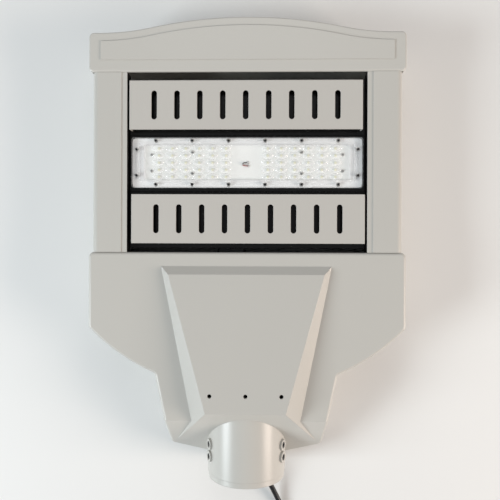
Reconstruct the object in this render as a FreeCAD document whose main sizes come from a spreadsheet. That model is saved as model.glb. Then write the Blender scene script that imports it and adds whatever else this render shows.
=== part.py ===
import math
import os
import types

import FreeCAD
import Part
import Sketcher

# Street light head, lying on its back: +Z out of the light-emitting face, +X to the right,
# +Y towards the front cap, the spigot towards -Y. The floor is Z = 0 and the origin is under
# the middle of the head's length. All lengths are in millimetres, all angles in degrees.

SIZES = {
    # Whole head
    "head_length": 580,
    "body_width": 394,
    "face_height": 88,
    "skin": 3.5,
    "fit_gap": 0.5,
    # Window between the rails
    "window_width": 298,
    "window_front": 221.9,
    "window_rear": -2.2,
    # Front cap
    "crown_radius": 580,
    "shoulder_flat": 15.1,
    "flank_radius": 300,
    "cap_corner_radius": 6,
    "cap_edge_radius": 2.5,
    "panel_top_inset": 11,
    "panel_rear_inset": 14.6,
    "panel_height": 1.2,
    # Rails
    "rail_step": 4.5,
    "rail_drop": 1,
    "rail_skin": 2.5,
    "rail_edge_radius": 7,
    "rail_lip_width": 7,
    "rail_lip_drop": 0.8,
    "rail_foot": 22,
    "ledge_width": 12,
    "ledge_thickness": 3,
    "port_size": 10,
    "port_height": 50,
    # Rear housing
    "wing_straight": 93.7,
    "wing_radius": 245,
    "neck_front_width": 227.6,
    "neck_front": -153,
    "neck_middle_width": 204.6,
    "neck_middle": -207.4,
    "neck_rear_width": 195.5,
    "neck_rear": -250,
    "rim_end": -266,
    "wing_corner_radius": 6,
    "housing_edge_radius": 4,
    "slope_start": -211,
    "slope_end": -268,
    "slope_fall": 52,
    "bulkhead_front": -196,
    "bulkhead_thickness": 9,
    "inset_share": 0.6,
    "cover_recess": 3,
    "cover_thickness": 3,
    "cover_gasket_thickness": 1.5,
    "cover_ledge_width": 12,
    "cover_ledge_thickness": 4.5,
    # Raised form on the rear housing
    "raised_front": -19.4,
    "raised_front_width": 211.2,
    "plateau_front": -29.5,
    "plateau_front_rise": 8,
    "plateau_rear": -196,
    "plateau_rear_foot": 140.4,
    "plateau_rear_rise": 22.9,
    "bank_angle": 46.5,
    "hip_end": -236,
    "hip_end_fall": 21,
    "small_hole_diameter": 5,
    "small_hole_pitch": 43.2,
    "small_hole_y": -175,
    # Spigot
    "spigot_diameter": 100,
    "spigot_axis_height": 50.5,
    "bore_diameter": 80,
    "bore_length": 66,
    "chamber_diameter": 64,
    "spigot_root": -200,
    "lip_length": 7,
    "lip_step": 1,
    "boss_diameter": 14,
    "boss_reach": 52.5,
    "boss_tilt": 25,
    "set_screw_diameter": 8,
    "set_screw_length": 11,
    "set_screw_sink": 1,
    "set_screw_socket": 4,
    "set_screw_first": -245.5,
    "set_screw_pitch": 15.3,
    # Heat sinks
    "bay_pitch": 70.8,
    "bay_middle": 109.35,
    "sink_length": 295,
    "sink_width": 70.2,
    "sink_base": 5,
    "sink_seat_height": 71,
    "fin_thickness": 2,
    "fin_depth": 40,
    "fin_pitch": 8.2,
    "fin_count": 31,
    "sink_screw_diameter": 5,
    "sink_screw_inset": 5.5,
    # Slotted plates
    "plate_length": 289.6,
    "plate_width": 61,
    "plate_sheet": 1.5,
    "plate_height": 10.5,
    "plate_shift": 0.8,
    "front_plate_aside": -1.4,
    "rear_plate_aside": 1.3,
    "slot_width": 6.9,
    "slot_length": 36,
    "slot_pitch": 28.5,
    "slot_count": 9,
    # Light module
    "lens_length": 290,
    "lens_width": 63,
    "lens_shift": 0.9,
    "lens_flange": 3,
    "lens_block_length": 262,
    "lens_block_width": 48,
    "lens_block_rise": 2.5,
    "lens_wall": 2,
    "lens_gasket_inset": 0.6,
    "lens_gasket_height": 1.5,
    "dome_length": 13,
    "dome_width": 7.4,
    "dome_height": 3,
    "dome_bank": 2.1,
    "led_column_pitch": 16.9,
    "led_row_pitch": 8.9,
    "led_middle_gap": 52.3,
    "led_columns": 6,
    "led_rows": 5,
    "led_size": 3.6,
    "led_height": 0.9,
    "board_length": 256,
    "board_width": 42,
    "board_thickness": 1.6,
    # Parts inside the rear housing
    "driver_length": 150,
    "driver_width": 62,
    "driver_height": 36,
    "driver_y": -70,
    "driver_ear": 12,
    "driver_ear_thickness": 3,
    "terminal_length": 44,
    "terminal_width": 20,
    "terminal_height": 17,
    "terminal_y": -150,
    # Cable glands
    "gland_thread_diameter": 16,
    "gland_hex": 19,
    "gland_nut": 5,
    "gland_dome": 12,
    "gland_x": 8,
    "gland_z": 38,
    "grommet_width": 36,
    "grommet_height": 9,
    "grommet_reach": 5,
    "grommet_lip": 3,
    "module_cable_diameter": 5.5,
    "module_cable_height": 50,
    "module_cable_bend": 20,
    # Screws
    "cover_screw_diameter": 5,
    "cover_screw_length": 10,
    "rail_screw_diameter": 5,
    "rail_screw_length": 16,
    "cap_post_diameter": 12,
    "cap_screw_grip": 12,
    # Input cable
    "cable_diameter": 7,
    "coil_radius": 38,
    "coil_turns": 2,
}

# Shares of the sizes above
HEAD_WIDTH_SHARE = 1.8
HEAD_HEIGHT_SHARE = 0.5
COVER_SCREW_SHARE = 0.4
GASKET_SHARE = 0.7
TERMINAL_BASE_SHARE = 0.6
TERMINAL_ENTRY_SHARE = 0.2
GLAND_TIP_SHARE = 0.8
ARC_SHARE = 0.45
# Fin spaces from the middle of the head to the module's cable
CABLE_FINS_ASIDE = 2.5
# How many times the wall a cutting tool is long
THROUGH = 3
# A chord this many radii long closes a half circle
HALF_CIRCLE_SHARE = 1.999
TERMINAL_WAYS = 3
HEXAGON_SIDES = 6

SIDES = (-1, 1)
UP = (0, 0, 1)
FRONTWARDS = (0, 1, 0)
REARWARDS = (0, -1, 0)
BAYS = (1, 2, 3)
MODULE_BAY = 2


class Length:
    """A length that knows its number and the sheet formula that gives it."""

    def __init__(self, number, formula):
        self.number = float(number)
        self.formula = formula

    @staticmethod
    def of(value):
        return value if isinstance(value, Length) else Length(value, repr(float(value)))

    def join(self, sign, other, number):
        return Length(number, f"({self.formula} {sign} {other.formula})")

    def __add__(self, other):
        other = Length.of(other)
        return self.join("+", other, self.number + other.number)

    def __sub__(self, other):
        other = Length.of(other)
        return self.join("-", other, self.number - other.number)

    def __mul__(self, other):
        other = Length.of(other)
        return self.join("*", other, self.number * other.number)

    def __truediv__(self, other):
        other = Length.of(other)
        return self.join("/", other, self.number / other.number)

    def __neg__(self):
        return Length(-self.number, f"(-1 * {self.formula})")

    def __radd__(self, other):
        return Length.of(other) + self

    def __rsub__(self, other):
        return Length.of(other) - self

    def __rmul__(self, other):
        return Length.of(other) * self

    def root(self):
        return Length(math.sqrt(self.number), f"sqrt({self.formula})")

    def of_angle(self, name):
        """The sine, cosine or tangent of an angle in degrees."""
        number = getattr(math, name)(math.radians(self.number))
        return Length(number, f"{name}({self.formula} * 1 deg)")


document = FreeCAD.newDocument("StreetLightHead")
sheet = document.addObject("Spreadsheet::Sheet", "Sizes")
for row_number, (alias, value) in enumerate(SIZES.items(), start=1):
    sheet.set(f"A{row_number}", alias.replace("_", " "))
    sheet.set(f"B{row_number}", str(value))
    sheet.setAlias(f"B{row_number}", alias)
document.recompute()
S = types.SimpleNamespace(**{alias: Length(sheet.get(alias), f"Sizes.{alias}") for alias in SIZES})

NODES = {}


def bind(feature, name, value):
    """Bind one property of a feature to a formula on the sheet."""
    feature.setExpression(name, Length.of(value).formula)


def new_body(node):
    """An empty body whose label names its node."""
    body = tool_body(node)
    NODES[node] = body
    return body


def tool_body(name):
    """An empty body that another piece is made from."""
    body = document.addObject("PartDesign::Body", name)
    body.Label = name
    return body


def datum(body, role):
    """One of the body's own origin planes or axes."""
    return next(item for item in body.Origin.OriginFeatures if item.Role == role)


def new_sketch(body, name, plane, offset):
    """An empty sketch parallel to an origin plane, at an offset along that plane's normal."""
    sketch = body.newObject("Sketcher::SketchObject", name)
    sketch.AttachmentSupport = (datum(body, plane), [""])
    sketch.MapMode = "FlatFace"
    bind(sketch, "AttachmentOffset.Base.z", offset)
    return sketch


def pin(sketch, edge, end, corner):
    """Hold one end of an edge, or a circle's centre, at a corner."""
    for kind, value in zip(("DistanceX", "DistanceY"), corner):
        pin_one(sketch, edge, end, kind, value)


def pin_one(sketch, edge, end, kind, value):
    """Hold one coordinate of an edge's end or centre."""
    value = Length.of(value)
    index = sketch.addConstraint(Sketcher.Constraint(kind, -1, 1, edge, end, value.number))
    sketch.setExpression(f"Constraints[{index}]", value.formula)


def arc_between(start, end, radius):
    """The short arc between two points. A positive radius turns to the left on the way."""
    chord = end - start
    half = chord.Length / 2
    side = FreeCAD.Vector(-chord.y, chord.x, 0).normalize()
    rise = math.sqrt(max(0, radius * radius - half * half)) * (1 if radius > 0 else -1)
    centre = start + chord * 0.5 + side * rise
    first, last = (start, end) if radius > 0 else (end, start)
    angles = [math.atan2(point.y - centre.y, point.x - centre.x) for point in (first, last)]
    circle = Part.Circle(centre, FreeCAD.Vector(0, 0, 1), abs(radius))
    return Part.ArcOfCircle(circle, angles[0], angles[1])


def outline(body, name, plane, corners, offset=0):
    """A closed sketch. A corner is (x, y), or (x, y, radius) where an arc leads to it."""
    sketch = new_sketch(body, name, plane, offset)
    points = [FreeCAD.Vector(Length.of(c[0]).number, Length.of(c[1]).number, 0) for c in corners]
    for index, corner in enumerate(corners):
        start = points[index - 1]
        end = points[index]
        if len(corner) == 2:
            edge = sketch.addGeometry(Part.LineSegment(start, end), False)
            final = 2
        else:
            radius = corner[2]
            turn = 1 if radius.number > 0 else -1
            edge = sketch.addGeometry(arc_between(start, end, radius.number), False)
            final = 2 if turn > 0 else 1
            if start.distanceToPoint(end) < HALF_CIRCLE_SHARE * abs(radius.number):
                size = sketch.addConstraint(Sketcher.Constraint("Radius", edge, abs(radius.number)))
                sketch.setExpression(f"Constraints[{size}]", (radius * turn).formula)
            else:
                upright = abs(start.x - end.x) < abs(start.y - end.y)
                pin_one(sketch, edge, 3, "DistanceX" if upright else "DistanceY",
                        corner[0] if upright else corner[1])
        pin(sketch, edge, 3 - final, corners[index - 1][:2])
        pin(sketch, edge, final, corner[:2])
    return sketch


def circles(body, name, plane, places, diameter, offset=0):
    """A sketch of equal circles."""
    sketch = new_sketch(body, name, plane, offset)
    diameter = Length.of(diameter)
    for place in places:
        centre = FreeCAD.Vector(Length.of(place[0]).number, Length.of(place[1]).number, 0)
        ring = Part.Circle(centre, FreeCAD.Vector(0, 0, 1), diameter.number / 2)
        edge = sketch.addGeometry(ring, False)
        pin(sketch, edge, 3, place)
        size = sketch.addConstraint(Sketcher.Constraint("Diameter", edge, diameter.number))
        sketch.setExpression(f"Constraints[{size}]", diameter.formula)
    return sketch


def rectangle(x_low, x_high, y_low, y_high):
    """The corners of an upright rectangle."""
    return [(x_low, y_low), (x_high, y_low), (x_high, y_high), (x_low, y_high)]


def centred(width, height, x=0, y=0):
    """The corners of a rectangle about a centre."""
    x = Length.of(x)
    y = Length.of(y)
    return rectangle(x - width / 2, x + width / 2, y - height / 2, y + height / 2)


def mirrored(half):
    """A closed outline from its right half, listed from front to rear."""
    left = []
    for index in range(len(half) - 1, -1, -1):
        x, y = half[index][:2]
        leading = half[index + 1] if index + 1 < len(half) else ()
        left.append((-Length.of(x), y) + tuple(leading[2:]))
    return list(half) + left


def grow(body, name, sketch, length, up=True, both=False):
    """Pad a sketch, along its plane's normal when up is set."""
    feature = body.newObject("PartDesign::Pad", name)
    feature.Profile = sketch
    bind(feature, "Length", length)
    feature.Reversed = not up
    feature.Midplane = both
    return feature


def sink(body, name, sketch, length, up=True, both=False):
    """Pocket a sketch, along its plane's normal when up is set."""
    feature = body.newObject("PartDesign::Pocket", name)
    feature.Profile = sketch
    bind(feature, "Length", length)
    feature.Reversed = up
    feature.Midplane = both
    return feature


def sink_slanted(body, name, sketch, length, direction):
    """Pocket a sketch along a direction that leans from its plane's normal."""
    feature = sink(body, name, sketch, length, up=False)
    feature.UseCustomVector = True
    feature.Direction = FreeCAD.Vector(*[Length.of(step).number for step in direction])
    feature.AlongSketchNormal = False
    for axis, step in zip("xyz", direction):
        bind(feature, f"Direction.{axis}", step)
    return feature


def row(body, name, originals, axis, count, pitch):
    """Repeat features along an origin axis."""
    pattern = body.newObject("PartDesign::LinearPattern", name)
    pattern.Originals = originals
    pattern.Direction = (datum(body, axis), [""])
    bind(pattern, "Length", pitch * (count - 1))
    bind(pattern, "Occurrences", count)
    body.Tip = pattern
    return pattern


def round_edges(body, name, base, radius, wanted):
    """Fillet the edges of the body so far that a test picks."""
    document.recompute()
    picked = [f"Edge{n}" for n, edge in enumerate(base.Shape.Edges, start=1) if wanted(edge)]
    feature = body.newObject("PartDesign::Fillet", name)
    feature.Base = (base, picked)
    bind(feature, "Radius", radius)
    return feature


def cylinder_tool(body, kind, name, diameter, length, place, direction, tilt=None):
    """A cylinder added to or cut from a body, along a direction from a place."""
    feature = body.newObject(f"PartDesign::{kind}Cylinder", name)
    bind(feature, "Radius", diameter / 2)
    bind(feature, "Height", length)
    aim(feature, place, direction, tilt)
    return feature


def aim(feature, place, direction, tilt=None):
    """Place a feature, with its own Z along a direction, or turned about Y by a bound angle."""
    rotation = FreeCAD.Rotation(FreeCAD.Vector(0, 0, 1), FreeCAD.Vector(*direction))
    if tilt is not None:
        rotation = FreeCAD.Rotation(FreeCAD.Vector(0, 1, 0), tilt.number)
    feature.Placement = FreeCAD.Placement(FreeCAD.Vector(), rotation)
    for axis, value in zip("xyz", place):
        bind(feature, f"Placement.Base.{axis}", value)
    if tilt is not None:
        bind(feature, "Placement.Rotation.Angle", tilt)


def solid_cylinder(name, diameter, length, place, direction, tilt=None):
    """A plain cylinder along a direction from a place."""
    feature = document.addObject("Part::Cylinder", name)
    bind(feature, "Radius", diameter / 2)
    bind(feature, "Height", length)
    aim(feature, place, direction, tilt)
    return feature


def solid_box(name, x_low, y_low, z_low, length, width, height):
    """A plain box from its lowest corner."""
    feature = document.addObject("Part::Box", name)
    for axis, value in zip(("Length", "Width", "Height"), (length, width, height)):
        bind(feature, axis, value)
    aim(feature, (x_low, y_low, z_low), (0, 0, 1))
    return feature


def joined(name, pieces):
    """One solid from several that touch."""
    feature = document.addObject("Part::MultiFuse", name)
    feature.Shapes = pieces
    feature.Refine = True
    return feature


def group(node, pieces):
    """Separate solids kept together under one node."""
    feature = document.addObject("Part::Compound", node)
    feature.Label = node
    feature.Links = pieces
    NODES[node] = feature
    return feature


def screw(name, diameter, length, place, direction):
    """A pan-head screw whose head stands on a seat and whose shank runs along a direction."""
    shank = solid_cylinder(f"{name}_shank", diameter, length, place, direction)
    head_height = diameter * HEAD_HEIGHT_SHARE
    back = [Length.of(start) - head_height * step for start, step in zip(place, direction)]
    head = solid_cylinder(f"{name}_head", diameter * HEAD_WIDTH_SHARE, head_height, back, direction)
    return joined(name, [head, shank])


def screws(node, diameter, length, places, direction):
    """A set of equal screws in one direction."""
    made = [
        screw(f"{node}_{number}", diameter, length, place, direction)
        for number, place in enumerate(places, start=1)
    ]
    return group(node, made)


half_length = S.head_length / 2
half_width = S.body_width / 2
window_half = S.window_width / 2
rail_half = half_width - S.rail_step
rail_top = S.face_height - S.rail_drop


# Front cap


crown_middle = half_length - S.crown_radius
crown_to_flank = (S.crown_radius + S.flank_radius) / S.crown_radius
flank_x = half_width - S.shoulder_flat
crown_half = flank_x / crown_to_flank
crown_rise = (S.crown_radius * S.crown_radius - crown_half * crown_half).root()
shoulder = crown_middle + crown_rise * crown_to_flank - S.flank_radius
cap_screw_seat = shoulder - S.rail_screw_diameter * HEAD_HEIGHT_SHARE
cap_screw_head = S.rail_screw_diameter * HEAD_WIDTH_SHARE + S.fit_gap


def crown(inset, corners):
    """The cap's wavy front edge moved inwards, closed by the corners of its right side."""
    radius = S.crown_radius - inset
    share = radius / S.crown_radius
    tangent = (crown_half * share, crown_middle + crown_rise * share, -radius)
    valley = (flank_x, shoulder - inset, S.flank_radius + inset)
    return mirrored([tangent, valley] + corners)


def cap_outline(inset, rear):
    """The whole cap, or the space inside its walls, back to a line across the head."""
    side = half_width - inset
    return crown(inset, [(side, shoulder - inset), (side, rear)])


def flat_at(height):
    """A test for edges that lie level at a height."""
    height = Length.of(height).number

    def wanted(edge):
        box = edge.BoundBox
        return abs(box.ZMin - height) < 0.01 and abs(box.ZMax - height) < 0.01

    return wanted


def make_front_cap():
    """A casting that is open towards the window, with a post for each of its two screws."""
    body = new_body("front_cap")
    plan = outline(body, "cap_plan", "XY_Plane", cap_outline(Length.of(0), S.window_front))
    shell = grow(body, "cap_shell", plan, S.face_height)
    corners = round_edges(body, "cap_corners", shell, S.cap_corner_radius,
                          lambda edge: is_upright(edge) and at_side(edge))
    round_edges(body, "cap_edge", corners, S.cap_edge_radius, flat_at(S.face_height))
    panel_corner = (flank_x, S.window_front + S.panel_rear_inset)
    panel = outline(body, "panel_plan", "XY_Plane", crown(S.panel_top_inset, [panel_corner]),
                    S.face_height)
    grow(body, "panel", panel, S.panel_height)
    hollow = outline(body, "cap_hollow_plan", "XY_Plane",
                     cap_outline(S.skin, S.window_front - S.skin), S.skin)
    sink(body, "cap_hollow", hollow, S.face_height - S.skin * 2)
    depth = shoulder - S.window_front
    for number, (x, z) in enumerate(port_places(), start=1):
        front = (x, S.window_front, z)
        cylinder_tool(body, "Additive", f"cap_post_{number}", S.cap_post_diameter,
                      depth - S.skin / 2, front, FRONTWARDS)
        cylinder_tool(body, "Subtractive", f"cap_screw_hole_{number}", S.rail_screw_diameter,
                      depth, front, FRONTWARDS)
        cylinder_tool(body, "Subtractive", f"cap_screw_seat_{number}", cap_screw_head,
                      S.skin * 2, (x, cap_screw_seat, z), FRONTWARDS)


def is_upright(edge):
    """Whether an edge runs straight up."""
    box = edge.BoundBox
    return box.XLength < 0.01 and box.YLength < 0.01 and box.ZLength > 1


def at_side(edge):
    """Whether an edge lies at either side of the head."""
    return abs(edge.BoundBox.Center.x) > half_width.number - 1


# Rails


def port_places():
    """The screw ports' places across the head, as x and z."""
    across = rail_half - S.rail_skin - S.port_size / 2
    return [(across * side, S.port_height) for side in SIDES]


def bay_y(number):
    """The middle of a bay, counted from the front to the rear."""
    return S.bay_middle + S.bay_pitch * (MODULE_BAY - number)


def make_rail(node, side):
    """An extruded rail, whose ledge carries the heat sinks and stops where they do."""
    body = new_body(node)
    bottom = S.rail_drop
    lip_top = rail_top - S.rail_lip_drop
    roof = lip_top - S.rail_skin
    wall = rail_half - S.rail_skin
    ledge_end = window_half - S.ledge_width
    ledge_foot = S.sink_seat_height - S.ledge_thickness
    lip_end = window_half + S.rail_lip_width
    inner = window_half + S.rail_skin
    port_top = S.port_height + S.port_size / 2
    port_foot = S.port_height - S.port_size / 2
    foot_end = rail_half - S.rail_foot
    section = [
        (rail_half, bottom), (rail_half, rail_top), (lip_end, rail_top), (lip_end, lip_top),
        (window_half, lip_top), (window_half, S.sink_seat_height),
        (ledge_end, S.sink_seat_height), (ledge_end, ledge_foot), (inner, ledge_foot),
        (inner, roof), (wall, roof), (wall, port_top), (wall - S.port_size, port_top),
        (wall - S.port_size, port_foot), (wall, port_foot), (wall, bottom + S.rail_skin),
        (foot_end, bottom + S.rail_skin), (foot_end, bottom),
    ]
    section = [(x * side, z) for x, z in section]
    front = -S.window_front
    span = S.window_front - S.window_rear
    profile = outline(body, f"{node}_section", "XZ_Plane", section, front)
    bar = grow(body, f"{node}_bar", profile, span)
    outer = (rail_half.number * side, rail_top.number)
    round_edges(body, f"{node}_edge", bar, S.rail_edge_radius, along_y_at(*outer))
    ports = [place for place in port_places() if place[0].number * side > 0]
    hole = circles(body, f"{node}_port_plan", "XZ_Plane", ports, S.rail_screw_diameter, front)
    sink(body, f"{node}_port", hole, span)
    ledge_front = bay_y(BAYS[0]) + S.sink_width / 2
    ledge_rear = bay_y(BAYS[-1]) - S.sink_width / 2
    for label, low, high in (("front", ledge_front, S.window_front),
                             ("rear", S.window_rear, ledge_rear)):
        corners = [(x * side, y) for x, y in rectangle(ledge_end, window_half, low, high)]
        end = outline(body, f"{node}_ledge_end_{label}_plan", "XY_Plane", corners, ledge_foot)
        sink(body, f"{node}_ledge_end_{label}", end, S.ledge_thickness)
    for number in BAYS:
        place = (sink_screw_x * side, bay_y(number), S.sink_seat_height - S.ledge_thickness * 2)
        cylinder_tool(body, "Subtractive", f"{node}_ledge_hole_{number}", S.sink_screw_diameter,
                      S.ledge_thickness * THROUGH, place, UP)


def along_y_at(x, z):
    """A test for edges that run along Y at a place across the head."""

    def wanted(edge):
        box = edge.BoundBox
        return box.YLength > 1 and math.hypot(box.Center.x - x, box.Center.z - z) < 0.1

    return wanted


# Rear housing

cover_top = S.cover_recess + S.cover_thickness
cover_ledge_top = cover_top + S.cover_gasket_thickness + S.cover_ledge_thickness
wing_y = S.window_rear - S.wing_straight
neck_side = (S.neck_front_width - S.neck_middle_width) / 2 / (S.neck_front - S.neck_middle)
neck_at_bulkhead = S.neck_middle_width / 2 + neck_side * (S.bulkhead_front - S.neck_middle)
bulkhead_rear = S.bulkhead_front - S.bulkhead_thickness
rear_slope = S.slope_fall / (S.slope_start - S.slope_end)
hip_slope = (S.plateau_rear_rise + S.hip_end_fall) / (S.plateau_rear - S.hip_end)
hip_run = ((S.plateau_rear_rise - rear_slope * (S.plateau_rear - S.slope_start))
           / (hip_slope - rear_slope))
hip_foot_y = S.plateau_rear - hip_run
hip_foot_z = S.face_height + S.plateau_rear_rise - hip_slope * hip_run
roof_slope = (S.plateau_rear_rise - S.plateau_front_rise) / (S.plateau_front - S.plateau_rear)
foot_slope = ((S.raised_front_width - S.plateau_rear_foot) / 2
              / (S.raised_front - S.plateau_rear))
bank_run = Length.of(1) / S.bank_angle.of_angle("tan")


def housing_outline():
    return mirrored([
        (half_width, S.window_rear),
        (half_width, wing_y),
        (S.neck_front_width / 2, S.neck_front, -S.wing_radius),
        (S.neck_middle_width / 2, S.neck_middle),
        (S.neck_rear_width / 2, S.neck_rear),
        (S.spigot_diameter / 2, S.rim_end),
    ])


def inner_outline(inset, rear_inset):
    """A line inside the housing's walls, ending ahead of the bulkhead."""
    lift = inset * S.inset_share
    rear = S.bulkhead_front + rear_inset
    return mirrored([
        (half_width - inset, S.window_rear - inset),
        (half_width - inset, wing_y + lift),
        (S.neck_front_width / 2 - inset, S.neck_front + lift),
        (neck_at_bulkhead - inset, rear),
    ])


def raised_form(name, profile, low, inset):
    """A form with a side view, whose banks lean inwards and draw together to the rear."""
    body = tool_body(name)
    side_view = outline(body, f"{name}_side", "YZ_Plane", profile)
    grow(body, f"{name}_block", side_view, S.raised_front_width, both=True)
    front = Length.of(profile[0][0])
    foot = S.raised_front_width / 2 - foot_slope * (S.raised_front - front) - inset
    top = S.face_height + S.plateau_rear_rise + S.skin
    outside = S.raised_front_width
    section = [
        (foot + bank_run * (S.face_height - low), low),
        (foot - bank_run * (top - S.face_height), top),
        (outside, top), (outside, low),
    ]
    for label, side in (("right", 1), ("left", -1)):
        corners = [(x * side, z) for x, z in section]
        bank = outline(body, f"{name}_bank_section_{label}", "XZ_Plane", corners, -front)
        sink_slanted(body, f"{name}_bank_{label}", bank, half_length, (-foot_slope * side, -1, 0))
    return body


def combine(body, kind, name, tool):
    """Join another body to this one, or cut it away."""
    feature = body.newObject("PartDesign::Boolean", name)
    feature.Type = kind
    feature.setObjects([tool])
    return feature


def make_rear_housing():
    body = new_body("rear_housing")
    face = S.face_height
    plan = outline(body, "housing_plan", "XY_Plane", housing_outline())
    block = grow(body, "housing_block", plan, face)
    round_edges(body, "wing_corners", block, S.wing_corner_radius,
                upright_near([(half_width, wing_y),
                              (S.neck_front_width / 2, S.neck_front),
                              (half_width, S.window_rear),
                              (S.neck_rear_width / 2, S.neck_rear)]))
    slope = outline(body, "rear_slope_side", "YZ_Plane", [
        (S.slope_start, face), (S.slope_end, face - S.slope_fall),
        (S.slope_end, face + S.skin), (S.slope_start, face + S.skin)])
    cut = sink(body, "rear_slope", slope, S.body_width, both=True)
    round_edges(body, "housing_edge", cut, S.housing_edge_radius, outer_face_edge)
    form = raised_form("raised_form", [
        (S.raised_front, hip_foot_z), (S.raised_front, face),
        (S.plateau_front, face + S.plateau_front_rise),
        (S.plateau_rear, face + S.plateau_rear_rise), (hip_foot_y, hip_foot_z),
    ], hip_foot_z, Length.of(0))
    combine(body, "Fuse", "raised_form_join", form)
    make_spigot(body)
    make_housing_hollow(body)
    make_bulkhead_and_holes(body)


def upright_near(places):
    """A test for upright edges beside any of some places in plan, on either side."""
    spots = [(Length.of(x).number, Length.of(y).number) for x, y in places]

    def wanted(edge):
        box = edge.BoundBox
        near = [math.hypot(abs(box.Center.x) - x, box.Center.y - y) < 1 for x, y in spots]
        return is_upright(edge) and any(near)

    return wanted


def outer_face_edge(edge):
    """Whether an edge bounds the housing's face or its rear slope on the outside."""
    points = [edge.valueAt(edge.FirstParameter + share * (edge.LastParameter - edge.FirstParameter))
              for share in (0.1, 0.5, 0.9)]
    slope = S.slope_fall.number / (S.slope_start.number - S.slope_end.number)
    top = S.face_height.number

    def surface(point):
        return top - max(0, (S.slope_start.number - point.y) * slope)

    on_top = all(abs(point.z - surface(point)) < 0.01 for point in points)
    crease = all(abs(point.y - S.slope_start.number) < 0.01 for point in points)
    return on_top and not crease


def make_spigot(body):
    axis = [(0, S.spigot_axis_height)]
    tube_length = half_length + S.spigot_root
    lip_diameter = S.spigot_diameter - 2 * S.lip_step
    tube = circles(body, "spigot_ring", "XZ_Plane", axis, S.spigot_diameter, -S.spigot_root)
    grow(body, "spigot_tube", tube, tube_length - S.lip_length)
    lip = circles(body, "lip_ring", "XZ_Plane", axis, lip_diameter, -S.spigot_root)
    grow(body, "spigot_lip", lip, tube_length)
    for name, place, tilt in set_screw_places():
        cylinder_tool(body, "Additive", f"boss_{name}", S.boss_diameter, S.boss_reach, place, UP, tilt)
    bore = circles(body, "bore_ring", "XZ_Plane", axis, S.bore_diameter, half_length)
    sink(body, "bore", bore, S.bore_length, up=False)
    chamber = circles(body, "chamber_ring", "XZ_Plane", axis, S.chamber_diameter, half_length)
    sink(body, "gland_chamber", chamber, half_length + bulkhead_rear, up=False)
    for name, place, tilt in set_screw_places():
        cylinder_tool(body, "Subtractive", f"boss_thread_{name}", S.set_screw_diameter,
                      S.boss_reach + S.skin, place, UP, tilt)


def set_screw_places():
    """Each set screw's name, its place on the spigot's axis and its turn from upright about Y."""
    turn = 90 - S.boss_tilt
    return [
        (f"{label}_{number}", (0, S.set_screw_first - S.set_screw_pitch * (number - 1),
                               S.spigot_axis_height), turn * side)
        for label, side in (("right", 1), ("left", -1))
        for number in (1, 2)
    ]


def make_housing_hollow(body):
    skin = S.skin
    ledge_foot = cover_top + S.cover_gasket_thickness
    recess = outline(body, "cover_recess_plan", "XY_Plane", inner_outline(skin, 0))
    sink(body, "cover_recess", recess, ledge_foot)
    opening = outline(body, "cover_opening_plan", "XY_Plane",
                      inner_outline(skin + S.cover_ledge_width, S.cover_ledge_width))
    sink(body, "cover_opening", opening, cover_ledge_top)
    hollow = outline(body, "housing_hollow_plan", "XY_Plane", inner_outline(skin, 0),
                     cover_ledge_top)
    sink(body, "housing_hollow", hollow, S.face_height - skin - cover_ledge_top)
    front = S.raised_front - skin
    low = S.face_height - skin - S.fit_gap
    roof = S.face_height - skin
    rear_rise = S.plateau_front_rise + roof_slope * (S.plateau_front - S.bulkhead_front)
    core = raised_form("raised_form_core", [
        (front, low), (front, roof), (S.plateau_front - skin, roof + S.plateau_front_rise),
        (S.bulkhead_front, roof + rear_rise), (S.bulkhead_front, low),
    ], low, skin / S.bank_angle.of_angle("sin"))
    combine(body, "Cut", "raised_form_hollow", core)


def make_bulkhead_and_holes(body):
    """The pockets beside the spigot and the holes for the gland, the screws and the grommet."""
    skin = S.skin
    inner = S.spigot_diameter / 2 + skin
    outer = S.neck_rear_width / 2 - skin * 2
    for label, side in (("right", 1), ("left", -1)):
        plan = outline(body, f"neck_pocket_plan_{label}", "XY_Plane",
                       centred(outer - inner, bulkhead_rear - S.neck_rear - skin,
                               (outer + inner) / 2 * side,
                               (bulkhead_rear + S.neck_rear + skin) / 2))
        sink(body, f"neck_pocket_{label}", plan, S.face_height - S.slope_fall)
    cylinder_tool(body, "Subtractive", "gland_hole", S.gland_thread_diameter,
                  S.bulkhead_thickness * 2,
                  (S.gland_x, bulkhead_rear - S.bulkhead_thickness / 2, S.gland_z), FRONTWARDS)
    for number, (x, z) in enumerate(port_places(), start=1):
        cylinder_tool(body, "Subtractive", f"rail_screw_hole_{number}", S.rail_screw_diameter,
                      skin * THROUGH, (x, S.window_rear - skin * 2, z), FRONTWARDS)
    grommet = outline(body, "grommet_hole_plan", "XZ_Plane", grommet_outline(0), -S.window_rear)
    sink(body, "grommet_hole", grommet, skin * 2, both=True)
    for number, (x, y) in enumerate(cover_screw_places(), start=1):
        cylinder_tool(body, "Subtractive", f"cover_thread_{number}", S.cover_screw_diameter,
                      cover_ledge_top, (x, y, 0), UP)
    for number in (-1, 0, 1):
        place = (S.small_hole_pitch * number, S.small_hole_y, S.face_height)
        cylinder_tool(body, "Subtractive", f"small_hole_{number + 2}", S.small_hole_diameter,
                      S.plateau_rear_rise * 2, place, UP)


def cover_screw_places():
    """The driver cover's screws, in plan: two at the front corners and two at the neck."""
    inset = S.skin + S.cover_ledge_width * COVER_SCREW_SHARE
    side = half_width - inset
    neck = neck_at_bulkhead - inset - S.cover_ledge_width
    right = [(side, S.window_rear - inset * 2), (neck, S.bulkhead_front + inset - S.skin)]
    return [(x * side_sign, y) for side_sign in SIDES for x, y in right]


module_cable_x = -S.fin_pitch * CABLE_FINS_ASIDE
sink_screw_x = S.sink_length / 2 - S.sink_screw_inset


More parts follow.
